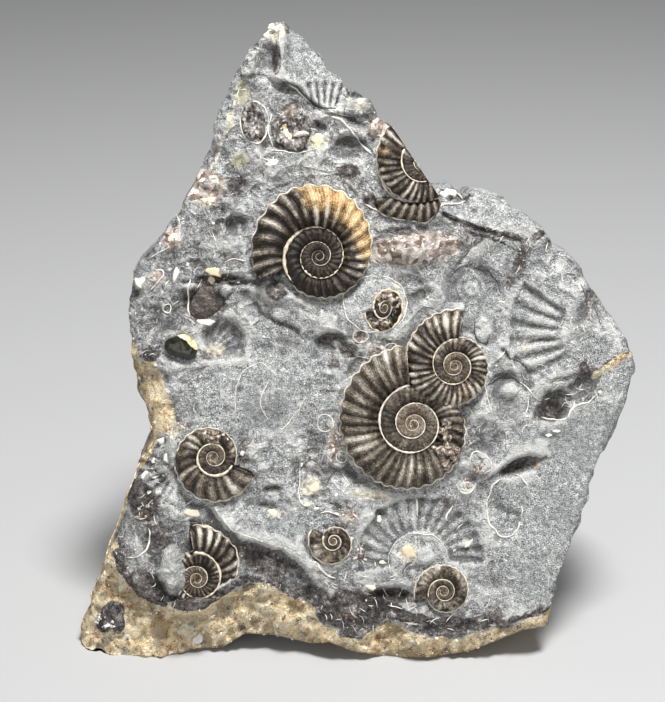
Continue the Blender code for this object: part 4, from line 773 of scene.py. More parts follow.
def rockHeight(u, v, pockets=True):
    # The broad relief with flaked scars and finer noise, sunk under each shell and level beside it.
    even = smoothness(u, v)
    crusty = ease(belowCrustEdge(u, v) / 1.2)
    w = broadRelief(u, v)
    p = flat(u, v)
    bent = p + 1.1 * np.stack([layeredNoise(p, 4.5, 3, seed) for seed in (21, 25, 29)], axis=-1) * (1, 1, 0)
    w = w + (1 - even) * (1 - crusty) * (2.0 * scarNoise(bent, 8.5, 31) + 0.7 * scarNoise(bent, 3.6, 33))
    crumbs = 1.1 * scarNoise(bent, 3.4, 83) + 0.5 * scarNoise(bent, 1.6, 85)
    w = w + crusty * (1.6 * layeredNoise(p, 7.0, 4, 81, 0.6) + crumbs)
    addEach(w, u, v, rock["rings"], lambda row: row[1] + 2, ringHeight)
    addEach(w, u, v, rock["cracks"], lambda row: 2, crackHeight)
    crumbly = ovals(u, v, rock["stainsAndShade"]["crumbly"])
    w = w + crumbly * (0.45 * scarNoise(bent, 1.9, 35) + 0.25 * layeredNoise(p, 1.6, 2, 37))
    before = w.copy()
    for shape in [*ammonites.values(), *shards.values()]:
        reach = 4 + (max(size for _, size in shape["radii"]) if "radii" in shape else max(shape["half"]) * 1.2)
        near = np.hypot(u - shape["middle"][0], v - shape["middle"][1]) < reach
        away = distanceFrom(shape, u[near], v[near])
        beside = ease((1.3 - away) / 0.9)
        deep = 1.5 * ease((-0.5 - away) / 0.4) * pockets
        w[near] = w[near] * (1 - beside) + beside * shape["level"] - deep
    for row in rock["covers"]:
        cover = lumpHeight(u, v, *row)
        cover = cover + 0.7 * layeredNoise(p, 2.6, 3, 87) * (cover > 0.3)
        w = np.where(cover > 0.25, np.maximum(w, before + cover), w)
    w = w + (1 - 0.7 * even) * (0.24 * layeredNoise(p, 5.5, 4, 41, 0.6))
    w = w + (0.3 + 0.7 * crusty) * 0.2 * layeredNoise(p, 1.3, 2, 61, 0.6)
    left, rim = rimDistance(u, v)
    return w - 1.3 * np.exp(-rim / 1.6) - 3.4 * np.exp(-left / 4) * ease((66 - v) / 6)


def rockPaint(u, v):
    # Stain and painted shade over the face: soft ovals, bands along lines, and the crust by its distance past its
    # edge.
    paint = {name: ovals(u, v, rows) for name, rows in rock["stainsAndShade"].items()}
    for name, rows in rock["veins"].items():
        for line, half, strength in rows:
            side, past = besideLine(u, v, line)
            away = np.hypot(side + 0.3 * layeredNoise(flat(u, v), 2.5, 3, 19), past)
            paint[name] = np.maximum(paint[name], strength * ease((half - away) / half * 1.1 + 0.2))
    below = belowCrustEdge(u, v) + 0.8 * layeredNoise(flat(u, v), 4.0, 3, 49)
    paint["crust"] = np.maximum(paint["crust"], ease(below / 0.9))
    paint["crust"] = paint["crust"] * (1 - ease((paint["dark"] - 0.6) * 4) * (below < 14))
    paint["dark"] = np.maximum(paint["dark"], 0.6 * np.exp(-(((below + 1.2) / 1.8) ** 2)))
    paint["flaky"] = np.clip(1 - 1.15 * smoothness(u, v), 0.06, 1) * (1 - 0.4 * paint["crust"])
    return paint


def blurred(w, cellsWide):
    # A box mean over the grid, by sums along each way.
    size = 2 * cellsWide + 1
    for axis in (0, 1):
        pad = [(cellsWide + 1, cellsWide) if n == axis else (0, 0) for n in (0, 1)]
        total = np.cumsum(np.pad(w, pad, mode="edge"), axis=axis)
        high = np.take(total, range(size, total.shape[axis]), axis=axis)
        low = np.take(total, range(0, total.shape[axis] - size), axis=axis)
        w = (high - low) / size
    return w


def facePlan():
    # u and v over the face: its four edges blended across and up it, less the blend of its corners.
    up, across = rock["up"], rock["across"]
    left, right = alongLine(rock["leftEdge"], up + 1)[:, None], alongLine(rock["rightEdge"], up + 1)[:, None]
    foot, top = alongLine(rock["footEdge"], across + 1)[None], alongLine(rock["topEdge"], across + 1)[None]
    s = np.linspace(0, 1, across + 1)[None, :, None]
    t = np.linspace(0, 1, up + 1)[:, None, None]
    low = (1 - s) * foot[:, :1] + s * foot[:, -1:]
    high = (1 - s) * top[:, :1] + s * top[:, -1:]
    plan = (1 - s) * left + s * right + (1 - t) * foot + t * top - (1 - t) * low - t * high
    u, v = plan[..., 0], plan[..., 1]
    rim = np.exp(-rimDistance(u, v)[1] / 1.5)[..., None]
    return plan + 0.5 * rim * np.stack([layeredNoise(flat(u, v), 3.0, 3, seed) for seed in (3, 9)], axis=-1)


back = {
    # Planes of the broken back: depth at a point, the point's u and height, and the slopes across and up.
    "planes": [
        (58, 0, 0, 0, 0.035), (59, -30, 40, 0.5, 0.05), (58, 38, 60, -0.55, 0.05), (57, 10, 30, 0.1, 0.12),
        (55.5, 0, 4, -0.03, 0.3), (60, -10, 90, -0.16, 0.03),
    ],
    "foot": [(30, 46), (-1, 7)],  # its lower edge rises between these two u, from one height to the other
    "narrower": 0.94, "lower": 0.965,  # than the face
    "sideSwell": 1.5, "sideMiddle": 55,  # swelling of the sides, away from this height in the middle
}


def backOf(front):
    # The face drawn in a little and set on the nearest of the planes, with waves and noise in its depth.
    t = np.linspace(0, 1, front.shape[0])[:, None]
    x = front[..., 0] * back["narrower"]
    u = x + face["centre"][0]
    z = front[..., 2] * back["lower"]
    z = z + (np.interp(u, *back["foot"]) - z[:1]) * (1 - t) ** 4
    depths = [deep + across * (u - atU) + up * (z - atZ) for deep, atU, atZ, across, up in back["planes"]]
    y = np.min(depths, axis=0) + 0.5 * np.sin(x / 6.3 + z / 9) * np.sin(z / 7.1) - face["centre"][1]
    p = np.stack([x, y, z], axis=-1)
    chipped = 3.6 * scarNoise(p * (1, 0, 1), 19, 7) + 1.0 * scarNoise(p * (1, 0, 1), 6.5, 13)
    deeper = chipped + 0.45 * layeredNoise(p, 5, 4, 17, 0.6) - 0.6
    p[..., 1] += deeper * np.clip((z + 1) / 6, 0, 1)
    return p


def rimCells(up, across):
    # Rows and columns of a grid's rim, anticlockwise from its lower left corner.
    i = [0] * across + list(range(up)) + [up] * across + list(range(up, 0, -1))
    j = list(range(across)) + [across] * up + list(range(across, 0, -1)) + [0] * up
    return np.array(i), np.array(j)


def sideRows(near, far):
    # Rings between the two rims: a straight line from one to the other, swollen outwards in facets and noise, less
    # where the swelling would stand out past the face's edge.
    out = (near + far) / 2 * (1, 0, 1) - (0, 0, back["sideMiddle"])
    out = out / np.linalg.norm(out, axis=1, keepdims=True)
    held = np.clip((near[:, 2:] - 5) / 18, 0, 1)
    share = (np.arange(1, rock["sideRows"]) / rock["sideRows"])[:, None, None] ** 1.15
    rows = near + (far - near) * share
    x, y, z = rows[..., :1], rows[..., 1:2], rows[..., 2:]
    facets = np.abs(np.sin(z / 8 + y / 13)) + 0.5 * np.sin(y / 5 + x / 7)
    arch = np.sin(math.pi * share**1.3)
    swollen = held * back["sideSwell"] * arch * facets
    chipped = 3.2 * scarNoise(rows, 16, 27) + 0.9 * scarNoise(rows, 6, 29)
    finer = (chipped + 0.5 * layeredNoise(rows, 4.5, 4, 37, 0.6))[..., None] - 0.5
    swollen = swollen + (0.15 + 0.85 * held) * np.minimum(1, 2.2 * arch) * finer
    shown = 0.3 + 0.075 * (y - near[:, 1:2])
    rows = rows + out * np.where(swollen > shown, shown + 0.25 * (swollen - shown), swollen)
    under = (near[:, 2:] < 6) * arch
    rows[..., 2:] += under * (1.8 * np.sin(x / 6 + 1) * np.sin(y / 7 + 1) - 0.3 + 0.3 * finer)
    return rows


def limestoneMaterial():
    # Salt-and-pepper grey, painted highlight on edges, painted shade in hollows, then each stain as painted.
    made, place = startMaterial("greyLimestone")
    broad, medium, small, speck = (noise(place, *size) for size in ((14, 4), (3.2, 5), (1.0, 4), (0.27, 2)))
    hollow, flaky = painted(place, "hollow"), painted(place, "flaky")
    # Flaked scars of three sizes: bowls, each the square of the distance to the nearest of scattered points.
    bend = noise(place, 1000 / 230, 4, "Color", Roughness=0.5)
    inputs = {0: bend, 1: (0.005, 0.005, 0.005), 2: place}
    bent = shaderNode(place.tree, "VectorMath", 0, inputs, operation="MULTIPLY_ADD")
    wide, middling, narrow = (cells(bent, size)[0].calc("POWER", 2.0) for size in (6.5, 3.0, 1.3))
    grain = small * 0.36 + speck * 0.64
    grey = ramp(grain, (0.35, 56, 57, 58), (0.44, 124, 125, 125), (0.53, 170, 171, 170), (0.63, 236, 237, 234))
    grey = blend(between(medium, 0.48, 0.34) * 0.4, grey, (120, 121, 122))
    # Painted highlight along the ridges where flaked scars meet.
    edges = between(wide + middling * 0.6, 0.42, 0.85) * flaky
    grey = blend(edges * 0.42, grey, (222, 222, 218))
    grey = blend(between(broad, 0.46, 0.66) * 0.46, grey, (122, 123, 124))
    ridge = (noise(place, 1000 / 640, 6, Roughness=0.62, Distortion=1.1) - 0.5).calc("ABSOLUTE")
    crumble = ramp(ridge, (0.0, 64, 64, 68), (0.02, 112, 113, 117), (0.055, 174, 174, 174), (0.13, 232, 230, 226))
    crumbly = ragged(painted(place, "crumbly"), small, 1.2)
    grey = blend(crumbly * 0.72, grey, crumble)
    # Painted shade in hollows and painted highlight on rises, by how far the stone stands above its own blur.
    grey = blend(between(hollow + small * 0.25, 0.0, -0.6) * 0.32, grey, (72, 73, 77))
    grey = blend(between(hollow + small * 0.6, 0.5, 0.95) * 0.5, grey, (222, 222, 217))
    plates = cells(bent, 1.5)[1] * 0.6 + small * 0.4
    mixed = medium * 0.4 + (small * 0.35 + speck * 0.25)
    colour = grey
    # Each stain over the grey; the dark one is also painted shade where its ovals lie in hollows and under ledges.
    for name, lumps, amount, value, *stops in (
        ("pale", small, 1.1, small, (0.35, 170, 162, 146), (0.6, 226, 220, 204)),
        ("yellow", small, 1.3, small, (0.35, 150, 146, 124), (0.6, 212, 208, 184)),
        ("warm", small, 1.5, plates, (0.3, 134, 114, 102), (0.42, 180, 162, 148), (0.52, 204, 190, 178),
         (0.64, 234, 226, 218)),
        ("dark", medium, 1.5, mixed, (0.36, 22, 20, 22), (0.46, 58, 54, 54), (0.55, 118, 112, 109),
         (0.64, 214, 209, 202)),
    ):
        colour = blend(ragged(painted(place, name), lumps, amount), colour, ramp(value, *stops))
    # Crumbs of the crust: a tone of its own for each scattered cell, and painted shade in the gaps where two cells
    # meet.
    crumbs, each = cells(bent, 1.7)
    mixed = medium * 0.5 + (small * 0.26 + each * 0.24)
    crust = ramp(mixed, (0.31, 150, 108, 64), (0.38, 238, 200, 146), (0.45, 255, 226, 172), (0.54, 255, 234, 188),
                 (0.64, 255, 247, 218))
    ochre = ramp(mixed, (0.35, 150, 102, 56), (0.44, 242, 194, 128), (0.56, 255, 228, 170))
    crust = blend(between(noise(place, 5.0, 5), 0.48, 0.62), crust, ochre)
    brown = ramp(small, (0.36, 128, 96, 62), (0.5, 214, 176, 122), (0.64, 252, 232, 190))
    crust = blend(between(noise(place, 6.5, 3), 0.58, 0.68) * 0.4, crust, brown)
    for value, low, high, share, over in (
        (noise(place, 2.2, 6), 0.42, 0.35, 0.8, (66, 48, 34)), (crumbs, 0.62, 0.92, 0.45, (84, 60, 38)),
        (speck, 0.49, 0.62, 0.9, (255, 250, 236)), (speck, 0.42, 0.3, 0.7, (98, 72, 46)),
    ):
        crust = blend(between(value, low, high) * share, crust, over)
    onCrust = painted(place, "crust")
    colour = blend(ragged(onCrust, medium, 1.0), colour, crust)
    # Painted shade in hollows again, multiplied over every colour, the crust's too.
    colour = blend(between(hollow, -0.1, -0.7) * 0.42, colour, (120, 113, 108), "MULTIPLY")
    scars = wide * 4.2 + (middling * 2.6 + narrow)
    coarse = crumbly.calc("MAXIMUM", between(onCrust, 0.3, 0.7))
    height = small * 0.8 + speck * 0.7 + scars * flaky + coarse * (ridge * 4.5) - onCrust * (crumbs * 2.2)
    return finishMaterial(made, colour, 0.82, height, 0.55, 0.35)


def restPaint(points):
    # Amounts of each stain away from the face: crust on the lower left side, along the foot and low on the back.
    low = layeredNoise(points, 16, 3, 47)
    x, y, z = (points + 14 * np.stack([low, 0 * low, layeredNoise(points, 20, 4, 51)], -1)).T
    deep = np.clip((y + 20) / 30, 0, 1)
    leftSide = np.clip((-22 - 14 * deep - x) / 10, 0, 1) * np.clip((70 - 26 * deep - z) / 16, 0, 1)
    foot = np.clip((7 - z) / 5, 0, 1)
    behind = np.clip((points[:, 1] - 4) / 10, 0, 1) * np.clip((90 - points[:, 2]) / 20, 0, 1)
    none = np.zeros(len(points))
    return {
        "dark": np.clip(0.45 * layeredNoise(points, 11, 3, 57), 0, 1), "warm": none, "yellow": none, "pale": none,
        "crust": np.clip(np.maximum(np.maximum(leftSide, foot), (0.2 + 0.6 * low) * behind), 0, 1),
        "crumbly": np.clip(0.4 + 0.8 * layeredNoise(points, 13, 3, 77), 0, 1), "flaky": none + 0.8,
        "hollow": 0.5 * layeredNoise(points, 3, 2, 67),
    }


def makeRock():
    # Front, sides and back as one closed surface. The sides and back have one vertex to every two of the face.
    plan = facePlan()
    u, v = plan[..., 0], plan[..., 1]
    front = onFace(u, v, rockHeight(u, v))
    rear = backOf(front[::2, ::2])
    up, across = rock["up"], rock["across"]
    fineI, fineJ = rimCells(up, across)
    coarseI, coarseJ = rimCells(up // 2, across // 2)
    rows = sideRows(front[fineI, fineJ][::2], rear[coarseI, coarseJ])
    fine = np.arange(front[..., 0].size).reshape(up + 1, across + 1)
    coarse = fine.size + np.arange(rear[..., 0].size).reshape(up // 2 + 1, across // 2 + 1)
    rings = fine.size + coarse.size + np.arange(rows[..., 0].size).reshape(rows.shape[:2])
    walls = np.concatenate([rings, coarse[coarseI, coarseJ][None]])
    # The face's rim, two cells to each of the first ring, is bridged to it by triangles.
    rim = fine[fineI, fineJ]
    first, second, third = rim[::2], rim[1::2], np.roll(rim[::2], -1)
    ring, on = rings[0], np.roll(rings[0], -1)
    triangles = ((first, ring, second), (second, ring, on), (second, on, third))
    bridge = np.concatenate([np.stack(corners, axis=-1) for corners in triangles])
    faces = [gridFaces(fine), gridFaces(coarse)[:, ::-1], gridFaces(walls, closeAcross=True)[:, ::-1], bridge]
    points = np.concatenate([part.reshape(-1, 3) for part in (front, rear, rows)])
    points[:, 2] = np.maximum(points[:, 2], 0)
    # Hollow is how far the bare stone stands above its own blur, over two widths: it drives painted shade and
    # highlight.
    plain = rockHeight(u, v, pockets=False)
    paint = rockPaint(u, v)
    paint["hollow"] = (plain - blurred(plain, 2)) * 1.8 + (plain - blurred(plain, 8)) * 0.95
    rest = restPaint(points[fine.size :])
    attributes = {name: np.concatenate([paint[name].ravel(), rest[name]]) for name in paint}
    makePiece("limestone_block", points, facingOut(points, faces), limestoneMaterial(), attributes,
              ["matrix"])
    print("limestone block:", len(points), "points")


shell = {
    "round": 22, "perRib": 8,  # points round a whorl and to each rib
    "overlap": 1.04,  # of each whorl's half-width, so that it runs in under the next one
    "height": 0.85, "underside": 0.55,  # of the half-width
    "ribHeight": 0.24, "ribCurve": 0.14, "bowl": 0.3,
}


def whorlAt(shape, along):
    # Outer radius, half-width, middle radius and rise of the whorl at an angle wound inwards from the mouth. The
    # smaller the whorl, the higher its middle plane, so that the shell's face stays nearly level.
    outer = radiusAt(shape, along / quarterTurn)
    half = (outer - radiusAt(shape, (along + fullTurn) / quarterTurn)) / 2 * shell["overlap"]
    first = (radiusAt(shape, 0.5) - radiusAt(shape, 4.5)) / 2
    return outer, half, outer - half, shell["bowl"] * np.maximum(first - half, 0)


def whorlTop(shape, along, r):
    # Height of a whorl's upper side at a radius: the oval's height above its middle plane.
    _, half, middle, rise = whorlAt(shape, along)
    c = np.clip((r - middle) / half, -1, 1)
    return rise + shell["height"] * half * np.maximum(1 - c * c, 0) ** 0.43


def ribAt(shape, along, c):
    # Ribs as a raised cosine of the angle, from 0 in the valleys to 1 on the crests, bent forwards towards the rim.
    # They are spaced a little unevenly, by two sines, and grow fewer to a turn further in.
    turns = along / fullTurn
    uneven = 0.12 * np.sin(5.3 * along + shape["ribs"]) + 0.1 * np.sin(2.1 * along + 1)
    phase = shape["ribs"] * (turns - 0.05 * turns**2) + uneven + shell["ribCurve"] * (c + c * c)
    return (0.5 + 0.5 * np.cos(fullTurn * phase)) ** shape["narrow"], phase


def sectorMask(angle, rule):
    # Full within the rule's half-width of its middle angle, falling to 0 past it.
    middle, width, strength = rule
    away = np.abs((np.degrees(angle) - middle + 180) % 360 - 180)
    return strength * ease((width - away) / 14)


def ammonitePoints(shape):
    # A tube carried along the spiral. Across it: an oval, flattened on the flank, with half-width half the gap to the
    # next whorl in. Along it the ribs are added, strongest on the outer flank. With it go the amounts that colour it.
    turns = (shape["radii"][-1][0] + 12.5) / 4 - 1
    count = int(turns * shape["ribs"] * shell["perRib"])
    along = np.linspace(shape["start"] * quarterTurn, turns * fullTurn, count)[:, None]
    around = ringAngles(shell["round"])[None]
    outer, half, middle, rise = whorlAt(shape, along)
    c, s = np.cos(around), np.sin(around)
    across = np.sign(c) * np.abs(c) ** 0.92
    upwards = np.sign(s) * np.abs(s) ** 0.86 * np.where(s > 0, shell["height"], shell["underside"])
    rib, phase = ribAt(shape, along, c)
    weight = np.where(s > -0.2, 0.3 + 0.7 * np.clip(s, 0, 1) ** 0.7 * (0.62 + 0.38 * c), 0.2)
    weight = weight + 0.3 * np.clip(c, 0, 1) ** 3 * (s > -0.5)
    inwards = along / fullTurn
    outerOnly = ease((1.02 - inwards) * 6)
    fade = 1 - (1 - shape["innerRibs"]) * ease((inwards - 0.97) * 5)
    ribbing = shape["ribbing"] * fade * (1 - 0.4 * ease((inwards - 2) * 4))
    spiral = flat(outer * np.cos(along), outer * np.sin(along))
    lift = half * shell["ribHeight"] * ribbing * weight * (rib - 0.45) * (1 + 0.25 * lumpyNoise(spiral, 2.5, 6))
    angle = math.radians(shape["mouth"]) + shape["coils"] * along
    wreck = sectorMask(angle, shape["broken"]) * outerOnly
    r = middle + (half + lift) * across * (1 + 0.012 * lumpyNoise(spiral, 3.0, 5))
    w = rise + (half + lift) * upwards
    a, b = r * np.cos(angle) * shape["oval"], r * np.sin(angle)
    lumps = layeredNoise(flat(a, b), 1.9, 3, 8, 0.6)
    w = w * (1 - 0.3 * wreck) + wreck * (s > 0) * half * 0.3 * lumps
    # Painted sheen on the crests: patchy, stronger outwards, weaker further in and in the darker sector.
    each = cornerNumber(*(np.floor(phase + 0.5 + shift).astype(np.int64).astype(np.uint32) for shift in (0, 7, 3)), 4)
    patchy = layeredNoise(flat(a, b), 2.4, 4, 10, 0.65)
    paintedSheen = shape["paintedSheen"] * (0.8 + 0.25 * each) * np.clip(1 + 0.75 * shape["patchy"] * patchy, 0.3, 1.6)
    paintedSheen = paintedSheen * (0.42 + 0.58 * ease((0.45 + across) * 0.8)) * (1 - 0.5 * wreck)
    paintedSheen = paintedSheen * (1 - shape["inner"] * ease((inwards - 0.95) * 4)) * (1 - sectorMask(angle, shape["darker"]))
    lightRib = 0.5 + ribbing * (rib - 0.5)
    return np.stack([a, b, w], axis=-1), {
        "rib": lightRib + shape["soft"] * (1 - lightRib), "paintedSheen": paintedSheen, "striae": phase,
        "golden": sectorMask(angle, shape["golden"]) * outerOnly * ease((across + 0.1) * 0.9),
        "brown": np.clip((inwards - 1.2) * 0.6, 0, shape["browned"]), "chalky": wreck * (0.35 + 0.6 * lumps),
    }


def bowPoints(shape):
    # A tube along the bow: an oval over each point's inner and outer radius, drawn in to nothing at both ends, with
    # ribs as a raised cosine of the way along.
    angles, inner, outer = map(np.array, zip(*shape["bow"]))
    along = np.linspace(0, 1, 120)[:, None]
    around = ringAngles(20)[None]
    angle = angles[0] + (angles[-1] - angles[0]) * along
    low, high = np.interp(angle, angles, inner), np.interp(angle, angles, outer)
    half = (high - low) / 2 * (1 - np.abs(2 * along - 1) ** 7) ** 0.5 * 0.98
    c, s = np.cos(around), np.sin(around)
    rib = (0.5 + 0.5 * np.cos(fullTurn * shape["ribs"] * along + 0.5 * c)) ** 0.9
    lift = half * 0.16 * (rib - 0.45) * (s > -0.2) * (0.5 + 0.5 * np.abs(s))
    r = (low + high) / 2 + (half + lift) * c
    w = (half * np.sign(s) * np.abs(s) ** 0.8 + lift * s) * np.where(s > 0, shape["height"], 0.5)
    a, b = spun(r, 0, np.radians(angle))
    local = np.stack([a + shape["hub"][0] - shape["middle"][0], b + shape["hub"][1] - shape["middle"][1], w], axis=-1)
    return local, {"rib": rib, "paintedSheen": 0.62, "golden": 0, "striae": shape["ribs"] * along, "brown": 0.12,
                   "chalky": 0.2}


def domePoints(shape):
    # Rings from the rim to the middle: an oval dome, 1 less the share of the way out to a power, under a square root,
    # with a hollow in the middle or ridges across. The underside is the rim drawn down to one point.
    share = np.concatenate([[1.0], np.linspace(1, 0.02, 22)])[:, None]
    at = ringAngles(72)[None]
    reach = unevenRing(shape, at) * share
    a, b = reach * np.cos(at) * shape["half"][0], reach * np.sin(at) * shape["half"][1]
    w = shape["height"] * (0.2 + 0.8 * np.sqrt(1 - np.minimum(share, 0.999) ** 2.4))
    w = w - shape["hollow"] * 1.25 * ease((0.62 - share) * 2.2)
    wave = np.cos(shape["ridges"] * math.pi * a / shape["half"][0])
    w = w + (shape["ridges"] > 0) * 0.14 * shape["height"] * wave * ease((0.95 - share) * 3)
    w = w + (0.1 + 0.25 * (shape["hollow"] > 0)) * layeredNoise(flat(a, b), 1.3, 2, 71) * (share < 1)
    w[0] = -1.3
    cream = 0
    if "cream" in shape:
        line, half = shape["cream"]
        u, v = spun(a, b, math.radians(shape["turn"]))
        away = np.hypot(*besideLine(shape["middle"][0] + u, shape["middle"][1] + v, line))
        cream = ease((half - away) / half * 1.2 + 0.2)
    return np.stack([a, b, w], axis=-1), {"cream": cream}


def placed(local, shape):
    # Local points of a shell turned, moved to its middle and set on the face at its level.
    a, b = spun(local[..., 0], local[..., 1], math.radians(shape["turn"]))
    return onFace(shape["middle"][0] + a, shape["middle"][1] + b, local[..., 2] + (shape["level"] + shape["proud"]))


def cutAway(piece, line):
    # Cuts off all that lies past a line on the face, and fills the cut.
    start, end = onFace(*np.array(line, float).T, 0.0) * millimetre
    shape = bmesh.new()
    shape.from_mesh(piece.data)
    everything = shape.verts[:] + shape.edges[:] + shape.faces[:]
    done = bmesh.ops.bisect_plane(shape, geom=everything, plane_co=start, plane_no=np.cross(outward, end - start),
                                  clear_outer=True)
    cut = [part for part in done["geom_cut"] if isinstance(part, bmesh.types.BMEdge)]
    bmesh.ops.holes_fill(shape, edges=cut, sides=0)
    shape.to_mesh(piece.data)
    shape.free()


def makeShell(name, shape, local, paint, slot, material):
    # A tube of local points closed by the middle of its first and of its last ring.
    ends = np.stack([local[0].mean(axis=0), local[-1].mean(axis=0)])
    points = np.concatenate([placed(local, shape).reshape(-1, 3), placed(ends, shape)])
    size = local.shape[:2]
    attributes = {key: np.append(np.broadcast_to(values, size), [0, 0]) for key, values in paint.items()}
    faces = facingOut(points, tubeFaces(*size))
    piece = makePiece(name + "_shell", points, faces, material, attributes, [name])
    if name.startswith("ammonite_edge"):
        cutAway(piece, brokenEdge)


def shellMaterial():
    # Dark valleys and crests lit by painted sheen, by the rib's height; browner inside, golden and chalky where
    # painted.
    made, place = startMaterial("darkFossilShell")
    medium, small, speck = noise(place, 2.6, 5), noise(place, 0.8, 4), noise(place, 0.28, 2)
    rib = painted(place, "rib")
    striae = (painted(place, "striae") * (fullTurn * 5)).calc("SINE")
    fine = striae * 0.05 + (speck - 0.5) * 0.9
    light = rib * painted(place, "paintedSheen") + (fine + (small - 0.5) * 0.9)
    body = ramp(light, (0.0, 16, 11, 8), (0.24, 46, 37, 29), (0.5, 100, 90, 78), (0.76, 152, 144, 131),
                (1.0, 204, 197, 184))
    brown = ramp(rib * 0.4 + (fine + small), (0.3, 30, 22, 17), (0.6, 82, 67, 54), (0.9, 146, 130, 112),
                 (1.0, 186, 174, 156))
    body = blend(painted(place, "brown"), body, brown)
    golden = ramp(rib * 0.17 + (fine + medium), (0.34, 74, 54, 36), (0.46, 140, 108, 68), (0.6, 190, 156, 106),
                  (0.84, 228, 206, 166))
    patchy = painted(place, "golden") + (medium - 0.5) * 1.6
    body = blend(between(patchy, 0.2, 0.85) * 0.92, body, golden)
    chalk = ramp(small, (0.38, 40, 34, 30), (0.47, 104, 90, 78), (0.56, 160, 146, 130), (0.66, 228, 218, 202))
    body = blend(ragged(painted(place, "chalky"), small, 1.2), body, chalk)
    gloss = shaderNode(place.tree, "MapRange", "Result", {"Value": small, "To Min": 0.34, "To Max": 0.58})
    return finishMaterial(made, body, gloss, small + speck * 0.4 + striae * 0.1, 0.16, 0.3)


# Looks of the fragments: roughness, size of the lumps, depth of the bump and the ramp.
fragmentLooks = {
    "brown_crystal": (0.4, 0.7, 0.3, (0.26, 26, 24, 25), (0.42, 70, 64, 61), (0.52, 104, 96, 90),
                      (0.62, 148, 143, 138), (0.76, 226, 222, 214)),
    "black_shell": (0.14, 1.6, 0.05, (0.35, 20, 20, 15), (0.6, 44, 43, 31), (0.8, 88, 84, 62)),
    "striped_shell": (0.42, 0.6, 0.3, (0.3, 26, 21, 19), (0.5, 66, 56, 49), (0.7, 122, 110, 98)),
}


def fragmentMaterial(slot):
    # Lumps coloured by the look's ramp, with waving stripes or crystal cells mixed in, and cream where it's painted.
    roughness, size, depth, *stops = fragmentLooks[slot]
    made, place = startMaterial(slot.replace("_", " ").title().replace(" ", ""))
    lumps = noise(place, size, 5)
    if slot == "striped_shell":
        wavy = {"Vector": place, "Scale": 800.0, "Distortion": 7.0, "Detail": 4.0, "Detail Scale": 0.6}
        stripes = shaderNode(place.tree, "TexWave", "Fac", wavy, bands_direction="DIAGONAL")
        lumps = stripes * 0.1 + lumps * 0.9
    if slot == "brown_crystal":
        lumps = cells(place, 0.55)[1] * 0.45 + lumps * 0.55
    cream = ramp(lumps, (0.35, 150, 134, 84), (0.5, 222, 212, 166), (0.7, 246, 242, 222))
    colour = blend(ragged(painted(place, "cream"), lumps, 0.8), ramp(lumps, *stops), cream)
    return finishMaterial(made, colour, roughness, lumps, depth)


class Gathered:
    # Collects surfaces that are joined into one piece.
    def __init__(self):
        self.points, self.faces, self.paint, self.count = [], [], [], 0

    def add(self, points, faces, paint):
        self.points.append(points)
        self.faces += [part + self.count for part in faces]
        self.paint.append(np.broadcast_to(paint, len(points)))
        self.count += len(points)

    def make(self, name, material):
        points = np.concatenate(self.points)
        points[:, 2] = np.maximum(points[:, 2], 0)
        sizes = sorted({part.shape[1] for part in self.faces})
        faces = [np.concatenate([part for part in self.faces if part.shape[1] == size]) for size in sizes]
        makePiece(name, points, faces, material, {"tint": np.concatenate(self.paint)})
        print(name + ":", len(points), "points")


def tubeAlong(gathered, path, thick, tint, closed=False, sides=6):
    # A circle carried along a path, square to it: the face's outward way and the side way at each point span it.
    path, thick = np.asarray(path, float), np.asarray(thick, float)
    ahead = np.roll(path, -1, axis=0) - np.roll(path, 1, axis=0)
    if not closed:
        ahead[0], ahead[-1] = path[1] - path[0], path[-1] - path[-2]
        thick = thick * np.minimum(1, np.minimum(np.arange(len(path)), np.arange(len(path))[::-1]) / 3 + 0.25)
    ahead = ahead / np.maximum(np.linalg.norm(ahead, axis=1, keepdims=True), 1e-9)
    sideways = np.cross(ahead, outward)
    sideways = sideways / np.maximum(np.linalg.norm(sideways, axis=1, keepdims=True), 1e-9)
    at = ringAngles(sides)[None, :, None]
    up = np.cross(sideways, ahead)
    points = path[:, None] + thick[:, None, None] * (np.cos(at) * sideways[:, None] + np.sin(at) * up[:, None])
    points = points.reshape(-1, 3)
    if closed:
        faces = [gridFaces(np.arange(len(points)).reshape(-1, sides), closeAcross=True, closeAlong=True)]
    else:
        points, faces = np.concatenate([points, path[:1], path[-1:]]), tubeFaces(len(path), sides)
    gathered.add(points, facingOut(points, faces), tint)
